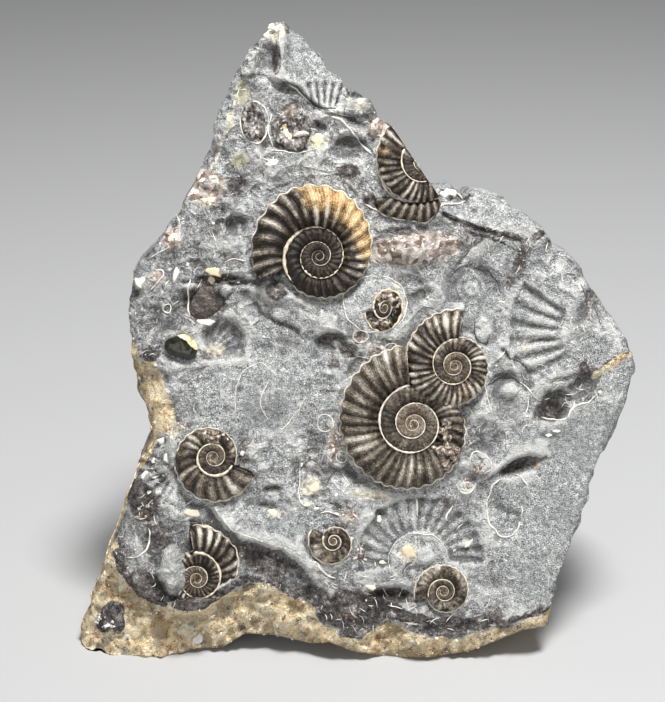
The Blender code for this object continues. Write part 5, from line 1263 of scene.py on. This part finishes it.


# Thin lines of shell, thin cracks in the stone, and thin lines of painted shadow.
lines = {
    "pitch": 0.45, "uneven": 0.45, "wander": 0.25, "shreds": 330,
    # Pale lines: points, half-thickness, and tint from white (0) to cream (1). The rings are closed.
    "pale": [
        ([(-10.7, 129.2), (-8.9, 128.2), (-7.3, 127.1), (-6, 125.5), (-4.6, 124), (-2.8, 123.1), (0.6, 122.6),
          (4.4, 121.5)], 0.12, 0.1), ([(-13.6, 122.4), (-14.3, 119.7), (-14.3, 117.2), (-13.4, 115)], 0.17, 0.1),
        ([(-14.5, 114.3), (-9.1, 113.6), (-6.2, 113.6), (-3.3, 114.5)], 0.13, 0.2),
        ([(-2.6, 121.3), (-0.6, 122), (1.7, 121.3), (3.3, 119.7), (4.4, 118.4), (5.3, 117), (6.9, 114.8),
          (8.9, 113)], 0.22, 0.1),
        ([(13.6, 119), (11.6, 117), (10.5, 115), (9.8, 112.5), (10, 110.2), (10.9, 107.5), (12, 105.1),
          (13.8, 103.5), (16.3, 102.6), (18.6, 102.6), (21, 103), (23.3, 103.5), (24.6, 104.4)], 0.2, 0.4),
        ([(26.7, 105.3), (27.8, 104.4), (29.6, 102.8)], 0.16, 0.2),
        ([(7.3, 101.9), (8.9, 101), (10.5, 100.6), (11.6, 99.2), (13.2, 99.2), (15, 98.5), (16.5, 98.5),
          (18.6, 98.1), (20.8, 97.7), (22.2, 98.5), (23.1, 99.7), (23.3, 100.6), (24.4, 101.7), (25.3, 101.9),
          (28.2, 101.9), (30, 102.6)], 0.22, 0.25), ([(-41.1, 89.8), (-38.8, 91.1), (-36.6, 92.2)], 0.16, 0.1),
        ([(-32.1, 85.3), (-32.7, 82.6), (-32.1, 80.3), (-32.7, 78.1), (-32.1, 76.3)], 0.2, 0.1),
        ([(-41.1, 82.6), (-39.3, 84.6), (-37.7, 86), (-38.1, 87.5), (-39.9, 87.1)], 0.14, 0.1),
        ([(-22.2, 54.5), (-21.9, 57.8), (-21.5, 61.2), (-20.8, 63.5), (-19, 65.2), (-16.8, 66.4), (-14.7, 65.7),
          (-14.1, 64.1)], 0.1, 0.1),
        ([(-14.5, 62.3), (-15.4, 60.1), (-16.3, 57.8), (-15.9, 55.6), (-14.1, 53.3)], 0.1, 0.1),
        ([(-6.6, 57.8), (-8, 55.1), (-10, 52.9), (-11.8, 51.1)], 0.1, 0.1),
        ([(-7.3, 41.9), (-7.3, 38.5), (-8, 37.6), (-7.3, 34.6), (-5.7, 33.8), (-4.8, 35.1)], 0.12, 0.1),
        ([(2.1, 41.4), (3, 40.1), (3.9, 38.9)], 0.13, 0.1),
        ([(30.7, 44.3), (31.8, 46.4), (34.1, 45.9), (35.9, 43.9), (35.9, 42.1), (33.9, 41.2)], 0.16, 0.1),
        ([(27.6, 39.4), (28.2, 37.6), (30, 36.5), (31.6, 37.4), (32.1, 39.1)], 0.17, 0.1),
        ([(28.2, 54.2), (28.9, 52.4), (29.6, 50.2), (28.9, 47.5), (27.8, 44.3), (27.1, 43.4)], 0.14, 0.1),
        ([(38.8, 69.5), (38.4, 68), (36.8, 67)], 0.16, 0.1), ([(34.5, 61.4), (34.8, 57.6), (35.9, 55.1)], 0.1, 0.1),
        ([(44.2, 59.2), (44, 56), (43.3, 54)], 0.12, 0.1),
        ([(41.7, 62.1), (43.3, 61), (44.7, 59.9), (45.6, 58.3)], 0.18, 0.1),
        ([(46.9, 54), (49.6, 53.3), (52.5, 53.6), (53.7, 55.6), (55.7, 57.1), (57.7, 57.4), (59.7, 59.4)], 0.2, 0.1),
        ([(37.7, 40.3), (35.9, 38.7), (35.4, 36.9), (34.6, 34.6), (35, 32.2), (35.2, 29.7), (36.6, 28.4),
          (37, 27.4), (38.8, 26.8), (40.6, 27.4), (41.7, 28.8), (42, 30.4)], 0.2, 0.1),
        ([(42.6, 31.5), (42.9, 32.9), (42.6, 34)], 0.14, 0.1),
        ([(40.6, 41.4), (42.2, 41), (43.5, 39.6), (44, 37.6)], 0.13, 0.1),
        ([(19, 35.8), (19, 33.8), (19, 31.5)], 0.22, 0.15), ([(27.1, 34.2), (26, 32.2), (25.1, 30.2)], 0.2, 0.1),
        ([(29.4, 29.9), (27.8, 28.6)], 0.14, 0.1),
        ([(12.9, 19.1), (12.5, 22.7), (13.8, 25.7), (17, 27.7), (20.4, 27.9), (23.3, 27), (25.3, 24.8),
          (26.2, 21.8)], 0.1, 0.1), ([(12.5, 11.9), (14.3, 11.2), (16.1, 10.6)], 0.12, 0.1),
        ([(16.5, 13.3), (17.2, 10.6)], 0.1, 0.1), ([(27.1, 10.1), (25.5, 7.7)], 0.12, 0.1),
        ([(-3, 32.4), (-0.3, 32.9), (2.1, 31.3)], 0.12, 0.1), ([(4.6, 32.4), (6.2, 30.8)], 0.14, 0.1),
        ([(5.3, 26.8), (6.6, 24.1), (6.2, 22.7)], 0.15, 0.1),
        ([(-4.8, 21.4), (-3.7, 21.4), (-3, 19.8), (-1.7, 19.1), (-1, 18.2), (0.8, 17.8)], 0.22, 0.15),
        ([(-40.2, 49.3), (-40.6, 47.5), (-42.9, 45), (-44.4, 41.6), (-45.8, 38), (-46.9, 34.2), (-48.3, 29.9),
          (-50.1, 26.1), (-51, 22.5)], 0.14, 0.7),
        ([(-41.3, 29), (-40.8, 27.7), (-41.3, 25.4), (-42.6, 23.6), (-44.2, 22.3), (-46.2, 22.3)], 0.2, 0.2),
        ([(-26.7, 34), (-22.8, 28.4), (-16.3, 26.1)], 0.1, 0.1),
        ([(-35.4, 99.5), (-33.9, 97), (-34.8, 94.3), (-33, 92.5)], 0.1, 0.2),
        ([(-24.2, 88.9), (-21.7, 89.8), (-19.2, 88.9)], 0.11, 0.2), ([(51.4, 88.9), (51.9, 83.7)], 0.08, 0.1),
    ],
    "rings": [
        ([(-17.7, 125.3), (-15.6, 124.4), (-14.5, 122.2), (-14.3, 119.5), (-15.2, 116.8), (-17.2, 115.2),
          (-19.2, 116.1), (-20.6, 118.4), (-20.8, 121.3), (-19.9, 124)], 0.17, 0.1),
        ([(-38.1, 78.5), (-37.7, 79.4), (-36.8, 79.7), (-36.1, 78.8), (-36.3, 77.6), (-37.5, 77.6)], 0.12, 0),
        ([(2.1, 80.3), (2.8, 83), (5.1, 85), (8.9, 86), (12.9, 85.5), (15.6, 83.5), (16.8, 80.3), (16.3, 77),
          (14.3, 74.2), (10.7, 72.9), (6.6, 73.4), (3.5, 75.4)], 0.11, 0.15),
        ([(11.4, 68.6), (12, 70.2), (13.6, 70.9), (15.2, 69.8), (15.2, 67.7), (13.8, 66.4), (12, 66.8)], 0.1, 0.1),
        ([(4.6, 72.2), (5.7, 73.8), (7.5, 73.6), (8.2, 72), (7.1, 70.7), (5.3, 70.7)], 0.09, 0.3),
        ([(-3.5, 53.8), (-1.7, 54.7), (0.1, 53.6), (0.3, 51.8), (-1.2, 50.4), (-3.3, 51.1)], 0.13, 0.1),
        ([(1, 46.1), (2.4, 46.8), (3.5, 45.7), (3.3, 44.1), (1.7, 43.6), (0.8, 44.8)], 0.09, 0.1),
    ],
    # Dark lines, partly cracks and partly painted shadow at ledges and the rims of hollows: points and
    # half-thickness.
    "dark": [
        ([(26.7, 85.7), (27.8, 87.3), (30, 88.4), (31.6, 88), (33.4, 87.5), (35.7, 86.4), (37.2, 84.4),
          (37.7, 81.9)], 0.15), ([(35.2, 61.4), (37, 63), (39.5, 63.7), (41.3, 62.8), (42.4, 61.4)], 0.3),
        ([(0.6, 114.8), (1.7, 116.5), (3.9, 117.2), (6.2, 116.3), (7.5, 114.5)], 0.2),
        ([(-24, 95.4), (-23.3, 97.9), (-21.5, 99.2), (-19, 99.5)], 0.18),
        ([(-3.3, 69.8), (-2.8, 71.8), (-1, 72.7), (1.2, 72.5), (2.8, 71.3)], 0.2),
        ([(-15.2, 37.6), (-13.6, 38.2), (-11.6, 37.8)], 0.2), ([(-16.8, 34.4), (-14.7, 34.4), (-12.9, 33.5)], 0.14),
        ([(-10.7, 129.8), (-8.9, 128.9), (-7.3, 127.8), (-6, 126.2), (-4.6, 124.7), (-2.8, 123.8),
          (0.6, 123.3)], 0.16), ([(28.9, 88.9), (30.7, 91.8), (33.6, 94)], 0.13),
        ([(32.1, 75.4), (31.6, 73.4), (32.5, 71.1), (34.5, 70.7), (35.7, 72.2)], 0.16),
        ([(15.9, 18.2), (15.6, 19.6), (16.8, 20.9), (18.3, 21.2)], 0.16),
        ([(-7.3, 41.9), (-6.4, 43.6), (-4.6, 44.8), (-2.8, 43.6), (-2.1, 41.2)], 0.14),
        ([(-1.5, 38.5), (-0.6, 40.7), (1.2, 41.9)], 0.12),
        ([(8.4, 15.3), (11.1, 15.8), (14.3, 15.5), (16.8, 14.6)], 0.26),
        ([(37.9, 42.1), (39.5, 43.4), (41.5, 44.1), (43.5, 44.6)], 0.3),
        ([(49.2, 61.9), (51.6, 62.8), (54.3, 63.7)], 0.18), ([(25.8, 99.5), (29.4, 97.9), (33.2, 96.5)], 0.14),
        ([(-20.8, 73.6), (-20.4, 71.8), (-21.3, 69.5)], 0.16), ([(-19.5, 49.3), (-21.3, 47), (-22.6, 44.3)], 0.14),
        ([(55.7, 83.9), (57, 81.2), (57.5, 78.5)], 0.13), ([(58.8, 79), (60, 76.5), (60.4, 74.2)], 0.13),
        ([(-33, 84.4), (-29.8, 84.8), (-26.7, 83.5), (-23.1, 84.4), (-19.9, 85.3)], 0.18),
    ],
    # Drawn over a shell: points, half-thickness, tint, and how far above the stone.
    "raised": [
        ([(-8.9, 117.2), (-7.1, 117.9), (-5.1, 117.9)], 0.5, 0.2, 0.6),
    ],
}


def rockPath(line, closed, rise):
    # A line's corners rounded, wavered by noise and laid on the stone.
    line = alongLine(rounded(line, closed), pitch=lines["pitch"], closed=closed)
    if closed:
        line = line[:-1]
    u, v = line.T
    u = u + lines["wander"] * lumpyNoise(flat(u, v), 1.6, 91)
    v = v + lines["wander"] * lumpyNoise(flat(u, v), 1.6, 92)
    return onFace(u, v, rockHeight(u, v) + rise)


def lineMaterial():
    # White at tint 0, cream at 1 and dark from 1.5 on; the dark is for cracks and painted shadow.
    made, place = startMaterial("paleShellLine")
    small, tint = noise(place, 1.2, 4), painted(place, "tint")
    white = ramp(small, (0.3, 176, 172, 162), (0.5, 228, 226, 218), (0.7, 246, 245, 240))
    cream = ramp(small, (0.3, 150, 122, 84), (0.5, 212, 190, 148), (0.7, 242, 230, 200))
    dark = ramp(small, (0.35, 40, 39, 40), (0.6, 98, 96, 96))
    colour = blend(between(tint, 1.1, 1.5), blend(tint, white, cream), dark)
    return finishMaterial(made, colour, 0.45, noise(place, 0.4, 2), 0.08)


def shellOutline(shape):
    # A line round the outer whorl, just outside its ribs and above the stone. Local points, thickness and tint.
    first = shape["start"] * quarterTurn
    along = np.linspace(first + 0.05, fullTurn + 0.05, int(fullTurn * shape["radii"][0][1] / 0.35))
    outer, half, _, _ = whorlAt(shape, along)
    r = outer + 0.5 * half * shell["ribHeight"] * (ribAt(shape, along, 1.0)[0] - 0.45) + 0.12
    a, b = spun(r, 0, math.radians(shape["mouth"]) + shape["coils"] * along)
    return np.stack([a * shape["oval"], b, 0 * r + 0.12 - shape["proud"]], axis=-1), shape["outline"], shape["edged"]


def shellSeam(shape):
    # A line along the groove between each whorl and the next one in, as high as the higher of the two there.
    last = shape["radii"][-1][0] / 4 + 0.9
    along = np.linspace(fullTurn, last * fullTurn, int((last - 1) * 150))
    outer, half, _, _ = whorlAt(shape, along)
    angle = math.radians(shape["mouth"]) + shape["coils"] * along
    middle, width, more = shape["thick"]
    thicker = 1 + (more - 1) * sectorMask(angle, (middle, width, 1)) * (along < 2 * fullTurn)
    thick = shape["seam"] * np.clip(outer / outer[0], 0.2, 1) ** 0.9 * thicker
    r = outer - 0.12 * half - 0.3 * thick
    w = np.maximum(whorlTop(shape, along, r), whorlTop(shape, along - fullTurn, r)) + 0.25 * thick
    a, b = spun(r, 0, angle)
    return np.stack([a * shape["oval"], b, w], axis=-1), thick, shape["tint"]


def addShreds(gathered):
    # Short bowed shreds, pale and dark, over the crumbly parts.
    random = np.random.default_rng(5)

    def crumblyPlace(u, v):
        # Kept off the shells and the crust, and the likelier the crumblier the stone is.
        paint = rockPaint(u, v)
        return clearOfShells(u, v) & (paint["crumbly"] * (paint["crust"] < 0.3) > random.uniform(0, 0.9, u.shape))

    u, v = onStone(random, lines["shreds"], crumblyPlace)
    ranges = ((0, math.pi), (-0.5, 0.5), (0.4, 1.5), (0.05, 0.13))
    turn, bow, half, thick = (random.uniform(*ends, (len(u), 1)) for ends in ranges)
    along = np.linspace(-1, 1, 8)[None]
    a, b = spun(half * along, half * bow * along**2, turn)
    u, v = u[:, None] + a, v[:, None] + b
    for path, size in zip(onFace(u, v, rockHeight(u, v)), thick):
        tubeAlong(gathered, path, size + np.zeros(8), random.choice([0.0, 0.1, 0.3, 1.8]), sides=5)


def makeLines():
    # Drawn lines, shreds, painted shade in the valleys between each mould's ribs, then each ammonite's outline and
    # seams.
    gathered = Gathered()
    # Tint 2 is dark: for the cracks, and for painted shadow lines.
    dark = lines["dark"] + [(line, thick) for line, _, thick in rock["cracks"] if thick]
    drawn = [(*row, False) for row in lines["pale"]] + [(*row, True) for row in lines["rings"]]
    for line, thick, tint, closed in drawn + [(line, thick, 2, False) for line, thick in dark]:
        path = rockPath(line, closed, 0.3 * thick)
        uneven = 1 + lines["uneven"] * layeredNoise(path, 2.5, 3, 93, 0.7)
        tubeAlong(gathered, path, thick * np.clip(uneven, 0.25, 2), tint, closed)
    for line, thick, tint, rise in lines["raised"]:
        u, v = alongLine(rounded(line), pitch=lines["pitch"]).T
        path = onFace(u, v, rockHeight(u, v, pockets=False).mean() + rise)
        tubeAlong(gathered, path, thick * (1 + 0.3 * layeredNoise(path, 1.5, 2, 97)), tint)
    addShreds(gathered)
    # Painted shade: a dark line along each valley between a mould's ribs.
    for hub, inner, outer, first, last, ribs, _, _ in rock["moulds"]:
        r = np.linspace(inner + 0.9, outer - 0.3, int((outer - inner) / 0.4))
        for n in range(ribs):
            u, v = spun(r, 0, np.radians(first + (last - first) * ((n + 0.5) / ribs - 0.004 * (r - inner))))
            u, v = hub[0] + u, hub[1] + v
            thick = 0.07 * np.clip(1 + 1.3 * layeredNoise(flat(u, v), 3.0, 3, 99), 0.12, 2.2)
            tubeAlong(gathered, onFace(u, v, rockHeight(u, v) - 0.05), thick, 2)
    for name, shape in ammonites.items():
        for local, thick, tint in (shellOutline(shape), shellSeam(shape)):
            path = placed(local, shape)
            thick = thick * np.clip(1 + 0.55 * layeredNoise(path, 2.6, 3, 95, 0.7), 0.35, 2)
            shown = np.ones(len(path), bool)
            if name == "ammonite_edge":
                u, v = shape["middle"][0] + local[:, 0], shape["middle"][1] + local[:, 1]
                shown = besideLine(u, v, brokenEdge)[0] < -0.1
            changes = np.flatnonzero(np.diff(shown.astype(int))) + 1
            for part in np.split(np.arange(len(path)), changes):
                if shown[part[0]] and len(part) > 4:
                    tubeAlong(gathered, path[part], thick[part], tint)
    gathered.make("pale_shell_lines", lineMaterial())


# Loose-looking bits that are fixed in the stone.
chips = {
    # Placed ones: middle, half-widths, turn, tint. Each is built of rings: how wide, and how high over the stone.
    "placed": [
        ((-12.3, 141.5), 1.6, 1, 10, 0.2), ((-14.5, 140.2), 1.2, 0.8, 40, 0.3), ((-13.8, 142), 0.9, 0.6, 40, 0.2),
        ((-29.1, 107.3), 1.1, 0.6, 20, 0.1), ((-27.8, 102.8), 1.9, 1, 0, 0.45), ((-36.1, 94.3), 1.6, 1.1, 40, 0.35),
        ((-43.3, 84.2), 1.6, 1.4, 0, 0.15), ((-35.2, 86), 0.7, 1.9, -20, 0), ((-32.7, 88.4), 0.7, 0.5, 0, 0),
        ((-26.4, 86.6), 2.4, 1, 0, 0.6), ((-27.1, 85), 1.1, 1.3, 0, 0.6), ((-28.7, 75.4), 2.9, 0.7, -4, 0.15),
        ((6.2, 124.9), 1, 0.8, 0, 0.1), ((-3.3, 116.3), 1.6, 1.5, 5, 0.5), ((-10.5, 118.4), 0.9, 1.4, 30, 0.5),
        ((-7.3, 117.7), 2.2, 1.1, 0, 0.15), ((-13.6, 111.2), 1.3, 0.9, 20, 0.1), ((26, 104.4), 1.9, 1.1, 0, 0.1),
        ((12, 114.3), 0.7, 0.7, 0, 0.9), ((48.3, 50.2), 1.3, 0.8, -20, 0.1), ((50.3, 50.9), 0.9, 0.4, 0, 0.2),
        ((-40.2, 44.1), 0.7, 0.7, 0, 0), ((-42.2, 41), 1, 1, 20, 0.05), ((-39.9, 40.7), 1, 0.5, 0, 0.05),
        ((-41.1, 36.9), 0.8, 0.7, 0, 0.1), ((-31.6, 32.4), 2, 1, -14, 0.4), ((-20.1, 45.9), 0.7, 0.6, 0, 0),
        ((-30, 50.2), 1.7, 0.6, 8, 0.5), ((-26.4, 51.1), 1.4, 0.4, 0, 0.5), ((-28.5, 29.2), 1.9, 0.9, -10, 0.55),
        ((28.7, 18.7), 0.8, 0.9, 0, 0.1), ((11.4, 61), 0.5, 2.2, 10, 0.2), ((10.7, 40.3), 0.4, 0.9, 10, 0.1),
        ((-4.4, 38.5), 1.6, 2, -20, 0.4), ((-6, 34.4), 0.9, 0.6, 0, 0.2), ((-6.9, 43.2), 0.4, 0.5, 0, 0),
        ((-13.4, 32.4), 1.5, 0.8, -20, 0.35), ((-3.3, 33.5), 1.6, 0.3, 8, 0.1), ((11.1, 21.2), 1, 0.7, 0, 0.3),
        ((25.5, 66.4), 0.7, 0.5, 0, 0.2), ((10.5, 31.1), 0.5, 0.8, 0, 0.1), ((26.9, 23.9), 1.3, 0.4, 40, 0.2),
        ((30.5, 25.4), 1.4, 0.4, 50, 0.1), ((7.3, 22.1), 0.5, 0.7, 0, 0.4), ((8.7, 15.8), 1.4, 0.6, -20, 0.35),
        ((60.2, 59.6), 0.5, 0.4, 0, 0.2), ((-30.7, 4.3), 1.6, 1.4, 0, 0), ((-36.6, 1.4), 1.4, 0.7, 10, 0.05),
        ((17, 23.6), 1.4, 1.3, 0, 0.6), ((-50.1, 7.2), 1.6, 0.4, 10, 0.1), ((26.4, 61.2), 0.5, 0.9, 0, 0.1),
        ((17, 23.4), 1.7, 0.8, -30, 0.6), ((22.2, 58.7), 0.7, 0.5, 0, 0.2), ((-38.1, 48.8), 1.7, 0.8, 20, 0),
        ((-37.2, 44.8), 0.8, 1.5, 0, 0), ((14.3, 83.5), 1.8, 0.4, -30, 0.4), ((0.8, 36.5), 0.4, 0.5, 0, 0.1),
    ],
    "corners": 11, "rings": [(1, -0.35), (0.96, 0.1), (0.6, 0.17)], "top": 0.16, "bottom": -0.5,
    "scattered": 300, "size": (0.1, 0.32),
}
crystals = {
    # Where crystals fill a hollow or a band: middle, half-widths, turn, how many, tint from white to brown.
    "beds": [
        ((19, 92.2), 9.4, 2.8, 6, 14, 0.12), ((0.8, 47.2), 1.8, 4.2, 0, 20, 0.25),
        ((33, 42.5), 1.8, 1.6, 40, 16, 0.6), ((30.3, 39.4), 0.9, 1.8, 0, 12, 0.6),
        ((10, 119.2), 1.4, 1.7, 0, 8, 0.5), ((2.8, 33.1), 2, 1.4, 0, 9, 0.5),
        ((-10.5, 118.4), 1.2, 1.4, 30, 8, 0.15), ((-7.3, 117.7), 2.2, 1.2, 0, 12, 0.2),
        ((-17.7, 120.4), 1.4, 3, 10, 10, 0.3), ((-35.2, 51.1), 3.4, 1.8, 30, 12, 0.3),
        ((10.7, 75.2), 1.2, 1.3, 0, 9, 0.6), ((3.5, 9.5), 2.6, 3.2, 0, 10, 0.85), ((5.3, 24.5), 1.4, 3, 0, 9, 0.2),
        ((-42.6, 32.6), 1.8, 1.8, 0, 12, 0.7), ((-50.7, 7.9), 3, 2, 0, 16, 0.1), ((26.9, 52.2), 1.2, 3, 0, 12, 0.4),
    ],
    "size": (0.2, 0.5), "deepest": -9,
}
grains = {"count": 1100, "size": (0.14, 0.5)}


def insideOutline(u, v, outline):
    # Counts the sides of the outline that a ray to the right crosses: an odd number means inside.
    inside = np.zeros(u.shape, bool)
    for (a, b), (c, d) in zip(outline, outline[1:] + outline[:1]):
        if b != d:
            inside ^= ((b > v) != (d > v)) & (u < (c - a) * (v - b) / (d - b) + a)
    return inside


def onStone(random, count, test):
    # Random places on the face, kept where the test says so.
    u, v = random.uniform(-56, 66, count * 8), random.uniform(0, 142, count * 8)
    outline = rock["footEdge"] + rock["rightEdge"] + rock["topEdge"][::-1] + rock["leftEdge"][::-1]
    keep = insideOutline(u, v, outline) & test(u, v)
    return u[keep][:count], v[keep][:count]


def clearOfShells(u, v):
    # Places half a millimetre or more off every ammonite, and 0.3 off every fragment.
    clear = np.ones(u.shape, bool)
    for shape in [*ammonites.values(), *shards.values()]:
        clear &= distanceFrom(shape, u, v) > (0.5 if "radii" in shape else 0.3)
    return clear


def mostlySmall(random, sizes, count, power):
    # Sizes from the least to the most, by a random number to a power.
    return sizes[0] + (sizes[1] - sizes[0]) * random.uniform(0, 1, count) ** power


def rhomb():
    # A cube pushed over along its diagonal, as calcite crystals are: its points, and two triangles to each side.
    points = np.array([(x, y, z) for x in (-1, 1) for y in (-1, 1) for z in (-1, 1)], float)
    points = points + 0.28 * points[:, [1, 2, 0]]
    quads = np.array([(0, 1, 3, 2), (4, 6, 7, 5), (0, 4, 5, 1), (2, 3, 7, 6), (0, 2, 6, 4), (1, 5, 7, 3)])
    return points * 0.75, np.concatenate([quads[:, [0, 1, 2]], quads[:, [0, 2, 3]]])


def scatterSolids(gathered, random, u, v, w, size, tint, squash):
    # Copies of the rhomb, each turned at random about three axes, stretched and set on the stone.
    corners, triangles = rhomb()
    turn = random.uniform(0, fullTurn, (3, len(u)))
    points = corners[None] * (random.uniform(0.7, 1.3, (len(u), 1, 3)) * size[:, None, None])
    points = points * (1 + random.uniform(-0.18, 0.18, points.shape))
    for first, second, angle in zip((0, 1, 2), (1, 2, 0), turn[..., None]):
        points[..., first], points[..., second] = spun(points[..., first], points[..., second], angle)
    a, b, up = points[..., 0], points[..., 1], points[..., 2] * squash
    points = onFace(u[:, None] + a, v[:, None] + b, w[:, None] + up).reshape(-1, 3)
    faces = (triangles[None] + len(corners) * np.arange(len(u))[:, None, None]).reshape(-1, 3)
    gathered.add(points, [faces], np.repeat(tint, len(corners)))


def bitsMaterial(name, roughness, *stops):
    # One ramp over each bit's tint, with a little noise.
    made, place = startMaterial(name)
    small = noise(place, 0.7, 3)
    return finishMaterial(made, ramp(painted(place, "tint") * 0.8 + small * 0.25, *stops), roughness, small, 0.1)


def makeChips(random):
    # Each placed chip is a low plate: its uneven rings, with a point below and above them.
    gathered = Gathered()
    rows = chips["placed"]
    middle, halves = np.array([row[0] for row in rows], float), np.array([row[1:3] for row in rows], float)
    turn, at = np.radians([row[3] for row in rows])[:, None], ringAngles(chips["corners"])[None]
    jag = 1 + random.uniform(-0.34, 0.26, (len(rows), chips["corners"]))
    level, thick = rockHeight(*middle.T), np.minimum(1, halves.min(axis=1))
    layers = []
    for ring, up in chips["rings"]:
        a, b = spun(jag * ring * np.cos(at) * halves[:, :1], jag * ring * np.sin(at) * halves[:, 1:], turn)
        layers.append(onFace(middle[:, :1] + a, middle[:, 1:] + b, (level + up * thick)[:, None]))
    ends = [onFace(*middle.T, level + up)[:, None] for up in (chips["bottom"], chips["top"] * thick)]
    for points, row in zip(np.concatenate(layers + ends, axis=1), rows):
        gathered.add(points, facingOut(points, tubeFaces(len(layers), chips["corners"])), row[4])
    u, v = onStone(random, chips["scattered"], lambda a, b: clearOfShells(a, b) & (smoothness(a, b) < 0.5))
    size = mostlySmall(random, chips["size"], len(u), 3)
    tint = random.choice([0.0, 0.1, 0.3, 0.6], len(u))
    scatterSolids(gathered, random, u, v, rockHeight(u, v), size, tint, 0.35)
    gathered.make("pale_chips", bitsMaterial(
        "paleChip", 0.5, (0.05, 196, 194, 188), (0.2, 234, 232, 226), (0.4, 222, 214, 194), (0.7, 204, 184, 144)))


def makeCrystals(random):
    # Rhombs at random places in each bed, evenly over its oval.
    gathered = Gathered()
    for middle, halfU, halfV, turn, count, tint in crystals["beds"]:
        far, at = np.sqrt(random.uniform(0, 1, count)), random.uniform(0, fullTurn, count)
        a, b = spun(far * np.cos(at) * halfU, far * np.sin(at) * halfV, math.radians(turn))
        u, v = middle[0] + a, middle[1] + b
        size = random.uniform(*crystals["size"], count)
        w = np.maximum(rockHeight(u, v), crystals["deepest"])
        tints = np.clip(tint + random.uniform(-0.35, 0.35, count), 0, 1)
        scatterSolids(gathered, random, u, v, w, size, tints, 0.4)
    gathered.make("calcite_crystals", bitsMaterial(
        "calciteCrystal", 0.25, (0.1, 228, 224, 218), (0.35, 204, 192, 182), (0.6, 168, 148, 134),
        (0.9, 104, 82, 68)))


def makeGrains(random):
    # Crumbs over the crust, sunk a little into it.
    gathered = Gathered()
    u, v = onStone(random, grains["count"], lambda a, b: (rockPaint(a, b)["crust"] > 0.5) & clearOfShells(a, b))
    size = mostlySmall(random, grains["size"], len(u), 2.5)
    tint = np.clip(random.normal(0.5, 0.24, len(u)), 0, 1)
    scatterSolids(gathered, random, u, v, rockHeight(u, v) - 0.15, size, tint, 0.5)
    gathered.make("crust_grains", bitsMaterial(
        "crustGrain", 0.7, (0.1, 252, 246, 230), (0.35, 240, 226, 196), (0.6, 214, 186, 142), (0.85, 120, 96, 72)))


# Lengths here are in metres.
studio = {
    "floor": (176, 176, 176), "floorHalf": 1.5, "world": (0.88, 0.89, 0.91), "worldStrength": 0.24,
    # Lights: place, size, watts.
    "lights": [((0.12, -0.16, 0.8), 0.2, 10.4), ((-0.4, -0.8, 0.3), 0.6, 1.4), ((0.05, -0.7, 0.07), 0.4, 0.9)],
    "aim": (0, 0.01, 0.06), "sensor": 36.0, "nearest": 0.01,
}


def makeStudio():
    # Floor, world, lights aimed at the block, and a camera square to the face where its outline was read from.
    mesh = bpy.data.meshes.new("floor")
    corners = [(x * studio["floorHalf"], y * studio["floorHalf"], 0) for x, y in ((-1, -1), (1, -1), (1, 1), (-1, 1))]
    mesh.from_pydata(corners, [], [(0, 1, 2, 3)])
    floor = bpy.data.objects.new("floor", mesh)
    bpy.context.scene.collection.objects.link(floor)
    made, _ = startMaterial("paleFloor")
    putIn(made.node_tree.nodes["Principled BSDF"], {"Base Color": tone(*studio["floor"]), "Roughness": 0.9})
    mesh.materials.append(made)
    world = bpy.data.worlds.new("softRoom")
    world.use_nodes = True
    putIn(world.node_tree.nodes["Background"], {"Color": (*studio["world"], 1), "Strength": studio["worldStrength"]})
    bpy.context.scene.world = world
    for n, (place, size, watts) in enumerate(studio["lights"]):
        light = bpy.data.lights.new(f"softLight{n}", "AREA")
        light.energy, light.size = watts, size
        lamp = bpy.data.objects.new(light.name, light)
        lamp.location = place
        x, y, z = np.array(studio["aim"]) - np.array(place)
        lamp.rotation_euler = (math.atan2(math.hypot(x, y), -z), 0, math.atan2(-x, y))
        bpy.context.scene.collection.objects.link(lamp)
    data = bpy.data.cameras.new("camera")
    data.sensor_width = studio["sensor"]
    data.lens = studio["sensor"] * face["eye"] / face["tall"]
    data.clip_start = studio["nearest"]
    camera = bpy.data.objects.new("camera", data)
    camera.location = (onFace(0.0, face["eyeHeight"], 0.0) + outward * face["eye"]) * millimetre
    camera.rotation_euler = (math.pi / 2 - face["lean"], 0, 0)
    bpy.context.scene.collection.objects.link(camera)
    bpy.context.scene.camera = camera
    bpy.context.scene.view_settings.view_transform = "Standard"


makeRock()
materials = {"dark_calcite": shellMaterial(), **{slot: fragmentMaterial(slot) for slot in fragmentLooks}}
for name, shape in ammonites.items():
    makeShell(name, shape, *ammonitePoints(shape), "dark_calcite", materials["dark_calcite"])
print("ammonites wound")
for name, shape in shards.items():
    local, paint = bowPoints(shape) if "bow" in shape else domePoints(shape)
    makeShell(name, shape, local, paint, shape["slot"], materials[shape["slot"]])
print("broken shells laid")
makeLines()
random = np.random.default_rng(11)
makeChips(random)
makeCrystals(random)
makeGrains(random)
makeStudio()
